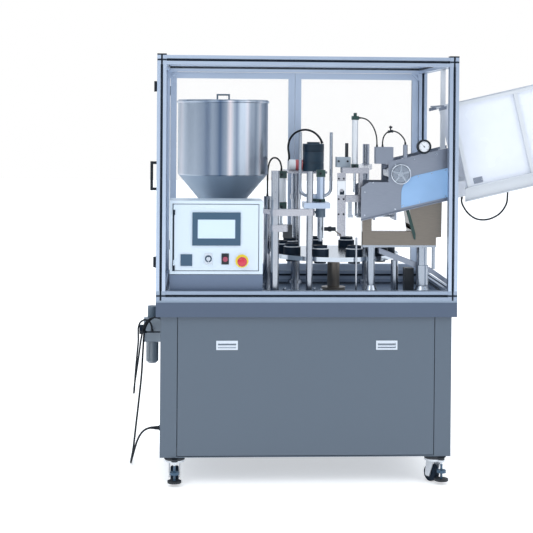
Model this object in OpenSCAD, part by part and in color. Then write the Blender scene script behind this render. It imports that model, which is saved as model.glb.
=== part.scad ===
// Tube filling machine: a rotary indexing table in a guard of slotted aluminium bars,
// on a steel cabinet with levelling casters, and a sloping tube magazine at its right.
// X runs to the right, Y to the back and Z up; the origin is on the floor,
// under the middle of the guard.

/* [Machine] */
// Width of the guard and of the table
frame_w = 1300; // [1290:5:1340]
// Depth of the guard and of the table
frame_d = 850; // [840:5:920]
// Height of the guard's top above the floor
frame_h = 1850; // [1830:5:2000]
// Height of the table's top above the floor
table_h = 800; // [780:5:820]
// Side of the square slotted bars
bar = 40; // [36:1:45]
// Thickness of the sheet metal
sheet = 2; // [1.5:0.5:3]
// Thickness of the clear panes
pane = 5; // [3:0.5:6]

/* [Cabinet] */
// Width of the cabinet
cabinet_w = 1260; // [1240:5:1280]
// Depth of the cabinet
cabinet_d = 810; // [790:5:830]
// Width of the front panel
panel_w = 1110; // [1060:5:1120]
// Radius of the caster wheels
wheel_r = 36; // [30:1:38]
// Width of the caster wheels
wheel_w = 36; // [28:1:38]

/* [Control box] */
// Width of the control box
box_w = 402; // [400:2:420]
// Height of the control box
box_h = 317; // [300:1:340]
// Depth of the control box
box_d = 200; // [160:5:210]

/* [Hopper] */
// Outer radius of the hopper's wall
hopper_r = 208; // [180:2:214]
// Height of the hopper's straight wall
hopper_wall_h = 338; // [300:2:350]
// Thickness of the hopper's wall
hopper_t = 2.5; // [2:0.5:4]

/* [Turntable] */
// Radius of the indexing table's disc
disc_r = 295; // [285:1:297]
// Thickness of the disc
disc_t = 20; // [16:1:21]
// Radius of a cup's bore, which holds the tube's cap
cup_bore_r = 19; // [14:0.5:22]
// Outer radius of a cup
cup_r = 38.5; // [34:0.5:40]

/* [Magazine] */
// Slope of the magazine in degrees
mag_angle = 13.3; // [12:0.1:14]
// Length of the storage bin
bin_l = 624; // [560:4:700]
// Height of the storage bin's sides
bin_h = 400; // [340:5:415]

/* [Hidden] */
$fn = 40;

// Gap left where one piece sits on the next, and overrun of every cut
seat = 0.25;
cut = 2;
// Radial clearance of pins and sliding rods, and of a clamp on its column
run_fit = 0.05;
clamp_fit = 0.15;

// Colours
aluminium = [0.74, 0.77, 0.80];
stainless = [0.76, 0.77, 0.78];
grey_paint = [0.45, 0.50, 0.56];
black = [0.10, 0.12, 0.15];
clear = [0.82, 0.90, 0.95, 0.3];

// Slots of the bars, post caps and corner brackets
slot_neck = 8;
slot_lip = 4;
slot_head = 15;
slot_depth = 10;
cap_t = 6;
gusset = 34;
gusset_t = 14;
gusset_wall = 5;

// Doors of the guard
door_gap = 2;
door_bar = 30;
door_t = 25;
pane_over = 6;
pane_slot_fit = 0.5;
hinge_low = 99;
hinge_high_drop = 114;
hinge_l = 45;
knuckle_gap = 0.3;
// A hinge: leaf width, leaf thickness, knuckle radius, distance out, pin radius
big_hinge = [28, 3.25, 6.5, 7, 3];
small_hinge = [12, 2, 4, 4.5, 1.8];
handle_drop = 23;
handle_l = 149;
handle_out = 53;
handle_r = 7;
handle_base_r = 11;
handle_base_t = 6;

// Cabinet
caster_h = 121;
apron_h = 63;
apron_w = 62;
plate_t = 8;
floor_t = 4;
tube_side = 40;
tube_wall = 2.5;
panel_depth = 19.7;
panel_reveal = 3;
strip_return = 18;
pull_w = 93;
pull_h = 40;
pull_depth = 14;
pull_rim = 6;
pull_x = [-343.5, 347.5];
pull_drop = 121;
pull_wall = 1.5;
pull_bar_r = 3;

// Casters: places, and the angle that each stands at
caster_x = 566;
caster_y = 360;
caster_turns = [0, 30, 160, 200];
caster_plate = 88;
caster_plate_t = 6;
king_r = 8;
king_l = 16;
fork_r = 43;
fork_t = 18;
cheek_t = 5;
cheek_gap = 2;
cheek_r = 15;
cheek_top = 22;
trail = 16;
axle_r = 4;
foot_back = 50;
foot_stud_r = 5;
foot_pad_r = 30;
foot_pad_t = 9;
foot_lift = 15;
foot_arm_r = 14;
thumb_r = 20;
thumb_t = 11;
thumb_z = 50;
tyre_round = 5;
hub_r = 15;
hub_step = 3;

// Control box: its left end, its front, and what is mounted on its door
box_in = 57;
box_front = 50;
plinth_h = 106;
box_seat = 2;
box_rim_side = 17.5;
box_rim = 16;
door_sheet = 3;
box_door_gap = 2;
hmi = [-392, 303.5];
hmi_w = 208;
hmi_h = 143;
hmi_t = 6;
hmi_body_w = 188;
hmi_body_h = 126;
hmi_body_t = 34;
hmi_view_w = 161;
hmi_view_h = 81;
hmi_view_sink = 1.5;
meter = [-521, 169];
meter_side = 50;
meter_t = 5;
meter_body = 44;
meter_body_t = 70;
key_at = [-426, 175];
start_at = [-353.5, 174];
stop_at = [-281, 165];
body_r = 10.7;
body_t = 42;
body_hole_r = 11.2;
legend_w = 32;
legend_h = 48;
legend_t = 2;
collar_r = 15;
collar_t = 6;
stop_ring_r = 28.5;
stop_ring_t = 3;
stop_neck_r = 7;
stop_cap_r = 21;
stop_cap_t = 18;
stop_stand = 24;
stop_rest = 8;
button_r = 11;
button_out = 8;
button_in = 4.5;
recess_r = 11.4;
recess_t = 5;
plunger_r = 6;
plunger_l = 24;
key_disc_r = 9;
key_disc_t = 5;
key_bow_w = 18;
key_bow_l = 26;
key_bow_t = 2.5;
key_bow_out = 26;
key_hole_r = 4;

// Hopper, filling pump and nozzle
hopper_at = [-358, 60];
hopper_foot = 285;
cone_h = 213;
cone_z = 313;
outlet_r = 30;
outlet_h = 26;
rim_r = 6;
lid_t = 3;
lid_lip_h = 10;
lid_fit = 1;
lid_handle_w = 62;
lid_handle_h = 27;
lid_handle_r = 4;
valve_w = 110;
valve_z = 200;
pump_r = 42;
pump_cap_t = 18;
pump_cap_over = 8;
pump_post_r = 16;
pump_post_out = 62;
pump_foot_t = 12;
pump_foot_w = 170;
pump_outlet_r = 14;
pump_outlet_l = 70;

// Turntable
table_x = 155;
pitch_r = 244;
disc_z = 153;
column_r = 28.5;
column_foot_r = 55;
column_foot_t = 10;
shaft_r = 20;
shaft_fit = 0.05;
shaft_drop = 170;
boss_r = 70;
boss_t = 9;
disc_hole_r = 15;
station_count = 10;
first_angle = -56;
cup_top_r = 31;
cup_low_h = 33;
cup_line_h = 2;
cup_line_r = 35;
cup_top_h = 13;
cup_nut_r = 27;
cup_nut_h = 11.5;
cup_nut_sides = 6;
cup_floor = 12;
through_r = 10;
spigot_r = 14.9;
gear_w = 180;
gear_h = 190;
motor_r = 62;
motor_l = 200;
motor_flange_r = 78;
motor_flange_t = 14;

// Round columns round the turntable: place, radius and height above the table
column_seat_t = 8;
column_seat_over = 12;
fl_post = [-136, -330];
fl_post_r = 18;
fl_post_h = 555;
head_post = [17.5, -300];
head_post_r = 14.5;
head_post_h = 552;
nozzle_post = [-147, 110];
nozzle_post_r = 18;
nozzle_post_h = 420;
heater_post = [0, 295];
heater_post_r = 22;
heater_post_h = 530;
heater_collar_r = 27;
heater_collar_z = 397;
heater_collar_h = 24;
crimp_post = [337, 280];
crimp_post_r = 16;
crimp_post_h = 664;

// Arms on the columns: heights above the table
cross_z = 358;
cross_h = 29;
cross_d = 44;
low_arm_z = 290;
low_arm_h = 29;
low_arm_l = 36;
sensor_w = 39;
sensor_d = 40;
sensor_h = 57;
sensor_z = 260;
nozzle_arm_z = 340;
nozzle_arm_h = 22;
nozzle_arm_r = 28;
shelf_t = 10;
shelf_x = [-60, 124];
shelf_y = [18, 322];
crimp_arm_z = 543;
crimp_arm_t = 25;
crimp_arm_r = 30;
crimp_head_x = [-59, 59];
crimp_head_y = [-40, 45];
block_x = [-80, -18];
block_d = 66;
block_h = 45;
spindle_r = 7.5;
spindle_h = 62;
hanger_x = [-77, -40];
hanger_t = 14;
hanger_z = 262;
jaw_yoke_z = 415;
jaw_yoke_h = 30;
jaw_yoke_w = 84;
jaw_yoke_t = 8;
jaw_strap_w = 14;
white_w = 34;
white_h = 63;
white_t = 12;
white_hole = 14;

// Air cylinders
fill_cyl_r = 23;
fill_cyl_h = 110;
fill_cap_low = 37;
fill_cap_top = 33;
fill_cap_w = 48;
crimp_cyl_r = 13.5;
crimp_cyl_h = 196;
crimp_cap_low = 15;
crimp_cap_top = 17;
crimp_cap_w = 30;
crimp_eye_r = 7;
crimp_eye_l = 14;
crimp_eye_t = 10;

// Filling nozzle
nozzle_rod_r = 7;
nozzle_tip_r = 10;
nozzle_tip_h = 40;
nozzle_z = 260;
nozzle_in = 30;

// Hot air head, which rides on its column
head_z = 390;
head_h = 24;
head_x = [-9, 106];
head_y = [-325, -188];
head_cyl_r = 17.5;
head_cyl_h = 98;
head_cap_low = 13;
head_cap_top = 31;
head_cap_w = 38;
air_nozzle_r = 14;
air_nozzle_h = 150;
air_tip_r = 9;
air_tip_h = 14;
clamp_r = 22;
clamp_h = 44;
grip_r = 11;
grip_l = 18;
grip_rod_r = 6;
grip_rod_l = 60;
pipe_x = [-18, 120];
pipe_y = -198;
pipe_r = 7;
pipe_wall = 1.5;
pipe_bend = 34;
pipe_z = 440;
pipe_top = 723;
saddle_w = 42;

// Hot air blower and heater
blower_at = [63, 68];
blower_r = 50;
blower_h = 127;
blower_neck_r = 30;
blower_neck_h = 8;
blower_groove = 3;
heater_r = 25;
heater_l = 62;
heater_z = 28;
terminal_w = 63;
terminal_d = 60;
terminal_h = 43;
terminal_y = 165;

// Jaws and their ram: heights above the table
jaw_half = 26;
jaw_pin_z = 430;
jaw_pin_r = 4;
jaw_eye_r = 9;
jaw_d = 30;
jaw_in = 13;
jaw_out = 3;
jaw_top = 26;
jaw_drop = 84;
jaw_head_t = 5;
ram_r = 6;
ram_end_r = 8;
ram_end_h = 12;
ram_z = 458;
ram_in = 40;

// Crimp guard and its rod
guard_x = [-42, 24];
guard_y = [-310, -272];
guard_z = 262;
guard_h = 135;
guard_t = 4;
guard_rod_r = 4.5;
guard_rod_at = [2, -300];

// Chute: places along X and heights above the table of its top edge
chute_y = [-272, -228];
chute_points = [[328, 214], [565, 123], [642, 70]];
chute_deep = 24;
chute_post = [409, -197];
chute_post_r = 16.5;
chute_post_h = 153;
chute_lug_w = 20;

// Magazine: left edge and bottom of its front plate, and the plates' places in Y
mag_x = 241;
mag_z = 341;
mag_y = -325;
mag_w = 240;
mag_plate_t = 4;
mag_plate_l = 419;
mag_plate_h = 227;
mag_left_h = 143;
mag_step_x = 34;
mag_step_h = 166;
mag_ramp = 120;
mag_lip = 15;
mag_lip_t = 3;
window_x = 176;
window_l = 204;
window_z = 12;
window_h = 128;
window_round = 62;
window_t = 3.5;
window_over = 8;
bed_x = 144;
bed_z = 67;
bed_t = 4;
wheel_at = [173, 161];
star_r = 48;
star_pocket_r = 17;
star_pockets = 5;
star_gap = 20;
hub_r2 = 36;
hub_t = 9;
star_shaft_r = 9;
rail_x = 459;
rail_drop = 26;
rail_h = 59;
rail_d = 25;
rail_t = 3;
bin_side_gap = 0.25;
top_rail = 14;
top_rail_back = 120;
strut_w = 16;
strut_t = 12;
strut_at = [10, 290, 604];
tie_r = 6;
mag_block_x = [64, 141];
mag_block_z = [246, 320];
mag_block_d = 60;
plug_x = 432;
plug_r = 10;
plug_z = 614;
plug_h = 58;
hanger_side = 20;
hanger_x2 = 630;
hanger_y = -150;
cross_member_z = 640;
cradle_y = -177;
cradle_z = 350;
cradle_tube_z = 27;
cradle_r = 22;
cradle_l = 150;
cradle_t = 3;
cradle_pin_r = 5;
cradle_half = 47;
lug_t = 8;
lug_top = 60;
lug_r = 10;

// Magazine stand: heights above the table
beam_x = [249, 574];
beam_y = [-320, -280];
beam_z = 221;
beam_h = 70;
beam_wall = 3;
stand_post_x = [289, 516];
stand_post_r = [17.5, 21];
stand_foot_r = [40, 50];
stand_foot_h = 53;
stand_clamp_r = 27;
stand_clamp_h = 88;
pole_x = 566;
pole_r = 7.5;
pole_z = 124;
support_w = 40;
cover_x = [456, 598];
cover_y = [-323, -130];
cover_low = [475, 254];
cover_low_right = 267;
cover_t = 2;
strip_w = 14;
strip_t = 3;
strip_top = -18;
dark_x = [448, 490];
dark_y = [-240, -190];
dark_h = 121;

// Gauges
gauge_u = 272;
gauge_v = 258.7;
gauge_r = 31;
gauge_t = 24;
gauge_rim = 3;
gauge_sink = 2;
gauge_stem_r = 6;
gauge_stem_l = 14;
small_gauge_r = 22;
small_gauge_t = 20;

// Air preparation unit on the cabinet's left side
air_out = 49;
air_y = 70;
air_w = 78;
air_d = 50;
air_drop = 253;
air_h = 109;
bowl_r = 29;
bowl_h = 99;
bowl_round = 10;
air_knob_r = 22;
air_knob_h = 50;
air_neck_r = 12;
air_neck_h = 5;
rib_r = 1.5;
rib_count = 20;
air_bracket_w = 40;
air_bracket_h = 60;
port_r = 6.58;
port_l = 12;
port_boss_r = 12;
port_boss_l = 5;

// Cable gland, bushings and cable tie on the cabinet's left side
gland_y = -60;
gland_up = 48;
gland_r = 12;
gland_nut_l = 12;
gland_l = 28;
gland_dome_r = 8;
bush_r = 9;
bush_l = 14;
bush_drop = 132;
bush_y = [-10, 14];
tie_out = 88;
tie_drop = 200;
tie_ring_r = 17;
tie_wall = 2.5;
tie_h = 7;
tie_strap_t = 2;
tie_saddle = 16;

// Cables: radius, sides and the points that each one follows
power_r = 4.5;
signal_r = 4;
hose_r = 4;
arc_r = 5;
thin_hose_r = 3;
cord_sides = 8;
POWER_ROUTE = [
  [-658, -60, 173], [-680, -60, 173], [-704, -60, 165], [-724, -60, 146], [-739, -60, 118],
  [-749, -60, 88], [-757, -59, 59], [-764, -52, 32], [-769, -33, 12], [-771, -7, 4.8],
  [-770, 19, 12], [-766, 38, 32], [-762, 46, 60], [-757, 48, 106], [-749, 43, 180],
  [-738, 36, 280], [-726, 24, 400], [-720, 15, 510], [-714, 8, 598], [-704, 10, 632],
  [-688, 11, 653], [-668, 13, 665], [-645, 14, 668]
];
SIGNAL_ROUTE = [
  [-645, -10, 668], [-670, -10, 667], [-696, -10, 656], [-714, -9, 632], [-722, -8, 600],
  [-729, -15, 560], [-739, -28, 480], [-749, -37, 410], [-756, -39, 358], [-758, -28, 331],
  [-759, -8, 322], [-758, 12, 331], [-757, 22, 358], [-753, 18, 420], [-746, 9, 500],
  [-741, 2, 556], [-741, -3, 594], [-740, -10, 623], [-731, -18, 647], [-711, -23, 659],
  [-690, -20, 651], [-681, -10, 631], [-679, 5, 613], [-679, 22, 603], [-679, 39.5, 601.5]
];
ARC_ROUTE = [
  [-42, 172, 584], [-43, 170, 612], [-48, 159, 648], [-42, 144, 684], [-22, 126, 713],
  [8, 108, 729], [38, 95, 731], [67, 83, 720], [88, 75, 701], [99, 70, 684],
  [104, 68, 669.2]
];
LINE_ROUTE = [
  [-88.8, 8.5, 542.5], [-89, 9, 562], [-96, 18, 586], [-110, 36, 600], [-128, 60, 598],
  [-140, 82, 578], [-146, 99, 545], [-147, 108, 500], [-147, 110, 460], [-147, 110, 420.3]
];
// Along the magazine and down from the rail it hangs from
CYLINDER_ROUTE = [
  [237.5, -234.5, 788], [256, -236, 787], [276, -241, 779], [293, -250, 761], [306, -262, 735],
  [313, -273, 705], [314, -280, 682], [314, -282, 661.3]
];
PLUG_ROUTE = [
  [338, -290, 661.3], [338, -290, 684], [344, -290, 708], [360, -291, 726], [382, -294, 731],
  [404, -301, 724], [420, -312, 709], [430, -325, 692], [432, -335, 673.6]
];
UNDER_HANG = [
  [495, 1.2], [495, 30], [520, 78], [556, 114], [594, 130], [632, 132], [672, 118], [700, 84],
  [706, 44], [706, 1.2]
];

// Derived places
half_w = frame_w / 2;
half_d = frame_d / 2;
post_x = half_w - bar / 2;
post_y = half_d - bar / 2;
door_z = table_h + bar + door_gap;
door_h = frame_h - table_h - 2 * bar - 2 * door_gap;
cab_x = cabinet_w / 2;
cab_y = cabinet_d / 2;
apron_z = table_h - plate_t - apron_h;
inner_z = caster_h + floor_t;
hinge_high = door_h - hinge_high_drop;
handle_z = door_h / 2 - handle_drop;
box_left = box_in - half_w;
air_x = -cab_x - air_out;
air_z = table_h - air_drop;
bush_z = table_h - bush_drop;
gland_at = [gland_y, inner_z + gland_up];
tie_at = [-cab_x - tie_out, 0, table_h - tie_drop];
box_y = -half_d + box_front;
box_z = table_h + plinth_h + box_seat;
disc_low = table_h + disc_z;
disc_top = disc_low + disc_t;
air_tool = station(1);
crimp_tool = station(2);
load_tool = station(3);
fill_tool = station(station_count - 1);
slope = tan(mag_angle);
gauge_at = lean(gauge_u, gauge_v);
mag_step_z = table_h + mag_z + mag_step_h;

function station(i) = [
  table_x + pitch_r * sin(first_angle + 360 / station_count * i),
  -pitch_r * cos(first_angle + 360 / station_count * i)
];

// A point of the magazine: x from its left edge, z above its sloping bottom line
function lean(x, z) = [mag_x + x, table_h + mag_z + x * slope + z];

// A block given by its two ends along each axis
module block(xs, ys, zs) {
  translate([xs[0], ys[0], zs[0]]) cube([xs[1] - xs[0], ys[1] - ys[0], zs[1] - zs[0]]);
}

// A block centred on x and y, standing at z
module slab(x, y, z, w, d, h) {
  translate([x - w / 2, y - d / 2, z]) cube([w, d, h]);
}

// Round bars: upright, along X and along Y
module pin(x, y, z, r, h) {
  translate([x, y, z]) cylinder(r = r, h = h);
}

module pin_x(x, y, z, r, l) {
  translate([x, y, z]) rotate([0, 90, 0]) cylinder(r = r, h = l);
}

module pin_y(x, y, z, r, l) {
  translate([x, y, z]) rotate([-90, 0, 0]) cylinder(r = r, h = l);
}

// An outline in X and Z, extruded towards the back from y
module upright(y, t) {
  translate([0, y + t, 0]) rotate([90, 0, 0]) linear_extrude(t) children();
}

function unit(v) = v / norm(v);

// A cable or hose swept along a route, with flat ends
module swept(p, r) {
  last = len(p) - 1;
  dirs = [for (i = [0 : last]) unit(p[min(i + 1, last)] - p[max(i - 1, 0)])];
  us = [for (d = dirs) unit(cross([d[2] * 0.2 + 1, 0.3, 0.1], d))];
  points = [
    for (i = [0 : last]) for (k = [0 : cord_sides - 1])
      p[i] + r * (us[i] * cos(360 * k / cord_sides) + cross(dirs[i], us[i]) * sin(360 * k / cord_sides))
  ];
  faces = [
    for (i = [0 : last - 1]) for (k = [0 : cord_sides - 1]) for (half = [0, 1])
      half == 0
        ? [i * cord_sides + k, (i + 1) * cord_sides + k, (i + 1) * cord_sides + (k + 1) % cord_sides]
        : [i * cord_sides + k, (i + 1) * cord_sides + (k + 1) % cord_sides,
          i * cord_sides + (k + 1) % cord_sides],
    [for (k = [0 : cord_sides - 1]) k],
    [for (k = [0 : cord_sides - 1]) last * cord_sides + cord_sides - 1 - k]
  ];
  polyhedron(points, faces);
}

// Cross-section of a slotted bar, and bars along X and Y
module slotted() {
  difference() {
    square(bar, center = true);
    for (a = [0 : 90 : 270]) rotate(a) {
      translate([bar / 2 - slot_depth, -slot_neck / 2]) square([slot_depth + cut, slot_neck]);
      translate([bar / 2 - slot_depth, -slot_head / 2]) square([slot_depth - slot_lip, slot_head]);
    }
  }
}

module bar_x(y, z) {
  translate([-half_w + bar + seat, y, z])
    rotate([90, 0, 90]) linear_extrude(frame_w - 2 * bar - 2 * seat) slotted();
}

module bar_y(x, z) {
  translate([x, half_d - bar - seat, z])
    rotate([90, 0, 0]) linear_extrude(frame_d - 2 * bar - 2 * seat) slotted();
}

// A cast bracket for the corner between a post and a beam
module corner_bracket() {
  rotate([90, 0, 0]) linear_extrude(gusset_t, center = true) difference() {
    polygon([[0, 0], [gusset, 0], [gusset, -gusset_wall], [gusset_wall, -gusset], [0, -gusset]]);
    polygon([
      [gusset_wall, -gusset_wall], [gusset - 2 * gusset_wall, -gusset_wall],
      [gusset_wall, -gusset + 2 * gusset_wall]
    ]);
  }
}

module guard_frame() {
  color(aluminium) {
    for (sx = [-1, 1]) for (sy = [-1, 1])
      translate([sx * post_x, sy * post_y, table_h]) linear_extrude(frame_h - table_h) slotted();
    for (z = [table_h + bar / 2, frame_h - bar / 2]) {
      for (s = [-1, 1]) bar_x(s * post_y, z);
      for (s = [-1, 1]) bar_y(s * post_x, z);
    }
    for (s = [0, 1]) mirror([s, 0, 0])
      translate([-half_w + bar + seat, half_d - door_t - gusset_t / 2 - 2 * seat,
        frame_h - bar - seat]) corner_bracket();
  }
}

// The fixed half of a hinge with its pin; the leaf runs to -x from the hinge line,
// on a face at y = 0 that looks to -y
module hinge_fixed(h, l) {
  block([-h[0], 0], [-h[1] - seat, -seat], [0, l / 2 - knuckle_gap]);
  pin(0, -h[3], 0, h[2], l / 2 - knuckle_gap);
  pin(0, -h[3], 0, h[4], l);
}

// The moving half, whose leaf runs to +x
module hinge_moving(h, l) {
  difference() {
    union() {
      block([0, h[0]], [-h[1] - seat, -seat], [l / 2, l]);
      pin(0, -h[3], l / 2, h[2], l / 2);
    }
    pin(0, -h[3], l / 2 - cut, h[4] + run_fit, l);
  }
}

// Puts a door leaf, drawn from its hinge line, on the left side or on the back
module at_left() {
  translate([-half_w, -half_d + bar + door_gap / 2, door_z]) rotate([0, 0, -90]) mirror([1, 0, 0])
    children();
}

module at_back(s) {
  mirror([s < 0 ? 1 : 0, 0, 0]) translate([half_w - bar - door_gap / 2, half_d, door_z])
    rotate([0, 0, 180]) children();
}

// Two stiles and two rails with a groove for the pane
module door_frame(w) {
  in = door_gap / 2;
  end = in + w - door_bar;
  color(aluminium) {
    for (x = [in, end]) door_bar_cut(w) block([x, x + door_bar], [0, door_t], [0, door_h]);
    for (z = [0, door_h - door_bar])
      door_bar_cut(w) block([in + door_bar + seat, end - seat], [0, door_t], [z, z + door_bar]);
  }
}

module door_bar_cut(w) {
  in = door_gap / 2;
  fit = pane_over + pane_slot_fit;
  difference() {
    children();
    block(
      [in + door_bar - fit, in + w - door_bar + fit],
      [door_t / 2 - pane / 2 - pane_slot_fit, door_t / 2 + pane / 2 + pane_slot_fit],
      [door_bar - fit, door_h - door_bar + fit]
    );
  }
}

module door_pane(w) {
  in = door_gap / 2;
  color(clear) block(
    [in + door_bar - pane_over, in + w - door_bar + pane_over],
    [door_t / 2 - pane / 2, door_t / 2 + pane / 2],
    [door_bar - pane_over, door_h - door_bar + pane_over]
  );
}

module door_trim(w) {
  x = w + door_gap / 2 - door_bar / 2;
  color(black) {
    for (z = [hinge_low - door_gap, hinge_high]) translate([0, 0, z - seat])
      hinge_moving(big_hinge, hinge_l);
    for (s = [-1, 1]) {
      pin_y(x, -handle_base_t - seat, handle_z + s * (handle_l / 2 - handle_base_r), handle_base_r,
        handle_base_t);
      pin_y(x, -handle_out + handle_r, handle_z + s * (handle_l / 2 - handle_base_r), handle_r,
        handle_out - handle_r - seat);
    }
    pin(x, -handle_out + handle_r, handle_z - handle_l / 2 + handle_base_r - handle_r, handle_r,
      handle_l - 2 * handle_base_r + 2 * handle_r);
  }
}

module frame_fittings() {
  color(black) {
    for (sx = [-1, 1]) for (sy = [-1, 1])
      slab(sx * post_x, sy * post_y, frame_h + seat, bar, bar, cap_t);
    for (z = [hinge_low - door_gap, hinge_high]) translate([0, 0, z - seat]) {
      at_left() hinge_fixed(big_hinge, hinge_l);
      for (s = [-1, 1]) at_back(s) hinge_fixed(big_hinge, hinge_l);
    }
    for (i = [0 : 3]) translate(caster_at(i)) {
      slab(0, 0, caster_h - caster_plate_t, caster_plate, caster_plate, caster_plate_t - seat);
      pin(0, 0, caster_h - caster_plate_t - king_l, king_r, king_l);
    }
  }
}

function side_w() = frame_d - 2 * bar - 2 * door_gap;
function back_w() = half_w - bar - door_gap - door_gap / 2;

module left_door() {
  at_left() door_frame(side_w());
}

module left_door_pane() {
  at_left() door_pane(side_w());
}

module left_door_fittings() {
  at_left() door_trim(side_w());
}

module rear_door(s) {
  at_back(s) {
    door_frame(back_w());
    door_pane(back_w());
    door_trim(back_w());
  }
}

module clear_covers() {
  mid = [crimp_tool[0], 0];
  color(clear) {
    translate([0, 0, frame_h - bar / 2 - slot_neck / 2 + seat]) linear_extrude(pane) difference() {
      square([frame_w - 2 * bar + slot_depth, frame_d - 2 * bar + slot_depth], center = true);
      for (sx = [-1, 1]) for (sy = [-1, 1])
        translate([sx * (half_w - bar), sy * (half_d - bar)]) square(slot_depth + 2 * seat, center = true);
    }
    difference() {
      block(guard_x + [1, 1] * mid[0], guard_y, [table_h + guard_z, table_h + guard_z + guard_h]);
      block(
        guard_x + [guard_t, -guard_t] + [1, 1] * mid[0],
        [guard_y[0] + guard_t, guard_y[1] + cut],
        [table_h + guard_z + guard_t, table_h + guard_z + guard_h + cut]
      );
    }
  }
}

// Cabinet
module cabinet_shell() {
  low = inner_z + seat;
  high = apron_z - seat;
  edge = panel_w / 2 + panel_reveal;
  color(grey_paint) {
    block([-cab_x, cab_x], [-cab_y, cab_y], [caster_h, inner_z]);
    for (s = [0, 1]) mirror([s, 0, 0]) {
      block([-cab_x, -cab_x + sheet], [-cab_y, cab_y], [low, high]);
      block([-cab_x + sheet + seat, -edge], [-cab_y, -cab_y + sheet], [low, high]);
      block([-edge - sheet, -edge], [-cab_y, -cab_y + strip_return], [low, high]);
    }
    block([-cab_x + sheet + seat, cab_x - sheet - seat], [cab_y - sheet, cab_y], [low, high]);
  }
}

module tube_bar(xs, ys, zs, axis) {
  grow = [for (i = [0 : 2]) i == axis ? cut : -tube_wall];
  difference() {
    block(xs, ys, zs);
    block(xs + [-1, 1] * grow[0], ys + [-1, 1] * grow[1], zs + [-1, 1] * grow[2]);
  }
}

module cabinet_frame() {
  x = cab_x - sheet - seat;
  front = -cab_y + panel_depth + seat;
  back = cab_y - sheet - seat;
  low = inner_z + seat;
  high = apron_z - seat;
  color(grey_paint) {
    for (s = [0, 1]) mirror([s, 0, 0]) {
      tube_bar([-x, -x + tube_side], [front, front + tube_side], [low, high], 2);
      tube_bar([-x, -x + tube_side], [back - tube_side, back], [low, high], 2);
      for (z = [low, high - tube_side])
        tube_bar([-x, -x + tube_side], [front + tube_side + seat, back - tube_side - seat],
          [z, z + tube_side], 1);
    }
    for (z = [low, high - tube_side]) for (y = [front, back - tube_side])
      tube_bar([-x + tube_side + seat, x - tube_side - seat], [y, y + tube_side], [z, z + tube_side], 0);
  }
}

module table_apron() {
  z = [apron_z, table_h - plate_t];
  color(stainless) for (s = [0, 1]) {
    mirror([0, s, 0]) block([-half_w, half_w], [-half_d, -half_d + apron_w], z);
    mirror([s, 0, 0]) block([-half_w, -half_w + apron_w],
      [-half_d + apron_w + seat, half_d - apron_w - seat], z);
  }
}

module table_plate() {
  color(stainless) difference() {
    block([-half_w, half_w], [-half_d, half_d], [table_h - plate_t, table_h]);
    pin(table_x, 0, table_h - plate_t - cut, shaft_r + cut, plate_t + 2 * cut);
  }
}

module front_panel() {
  low = inner_z + panel_reveal;
  high = apron_z - panel_reveal;
  pz = high - pull_drop;
  color(grey_paint) difference() {
    block([-panel_w / 2, panel_w / 2], [-cab_y, -cab_y + panel_depth], [low, high]);
    block(
      [-panel_w / 2 + sheet, panel_w / 2 - sheet], [-cab_y + sheet, cab_y], [low + sheet, high - sheet]
    );
    for (x = pull_x)
      block(
        [x - pull_w / 2 + pull_rim - seat, x + pull_w / 2 - pull_rim + seat], [-cab_y - cut, cab_y],
        [pz - pull_h / 2 + pull_rim - seat, pz + pull_h / 2 - pull_rim + seat]
      );
  }
}

module panel_pulls() {
  pz = apron_z - panel_reveal - pull_drop;
  color(stainless) for (x = pull_x) difference() {
    union() {
      block(
        [x - pull_w / 2, x + pull_w / 2], [-cab_y - pull_wall - seat, -cab_y - seat],
        [pz - pull_h / 2, pz + pull_h / 2]
      );
      block(
        [x - pull_w / 2 + pull_rim, x + pull_w / 2 - pull_rim],
        [-cab_y - pull_wall - seat, -cab_y + pull_depth],
        [pz - pull_h / 2 + pull_rim, pz + pull_h / 2 - pull_rim]
      );
    }
    difference() {
      block(
        [x - pull_w / 2 + pull_rim + pull_wall, x + pull_w / 2 - pull_rim - pull_wall],
        [-cab_y - cut - pull_wall, -cab_y + pull_depth - pull_wall],
        [pz - pull_h / 2 + pull_rim + pull_wall, pz + pull_h / 2 - pull_rim - pull_wall]
      );
      pin_x(x - pull_w / 2, -cab_y - seat + pull_bar_r - pull_wall, pz, pull_bar_r, pull_w);
    }
  }
}

// Casters
function caster_at(i) = [caster_x * (i % 2 == 0 ? -1 : 1), caster_y * (i < 2 ? -1 : 1), 0];

module at_caster(i) {
  translate(caster_at(i)) rotate(caster_turns[i]) children();
}

module caster_fork(i) {
  top = caster_h - caster_plate_t - seat;
  low = top - fork_t;
  x = wheel_w / 2 + cheek_gap;
  at_caster(i) {
    color(aluminium) {
      difference() {
        union() {
          pin(0, 0, low, fork_r, fork_t);
          block([-foot_arm_r, foot_arm_r], [-foot_back, 0], [low, top]);
          pin(0, -foot_back, low, foot_arm_r, fork_t);
          for (s = [0, 1]) mirror([s, 0, 0]) hull() {
            pin_x(x, trail, wheel_r, cheek_r, cheek_t);
            block([x, x + cheek_t], [-cheek_top, cheek_top], [low, low + cut]);
          }
        }
        pin(0, 0, top - king_l - seat, king_r + run_fit, king_l + cut);
      }
      pin_x(-x - cheek_t, trail, wheel_r, axle_r, 2 * x + 2 * cheek_t);
    }
    color(black) {
      pin(0, -foot_back, foot_lift, foot_pad_r, foot_pad_t);
      pin(0, -foot_back, foot_lift + foot_pad_t, foot_stud_r, low - foot_lift - foot_pad_t);
    }
    color([0.75, 0.12, 0.10]) pin(0, -foot_back, thumb_z, thumb_r, thumb_t);
  }
}

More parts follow.
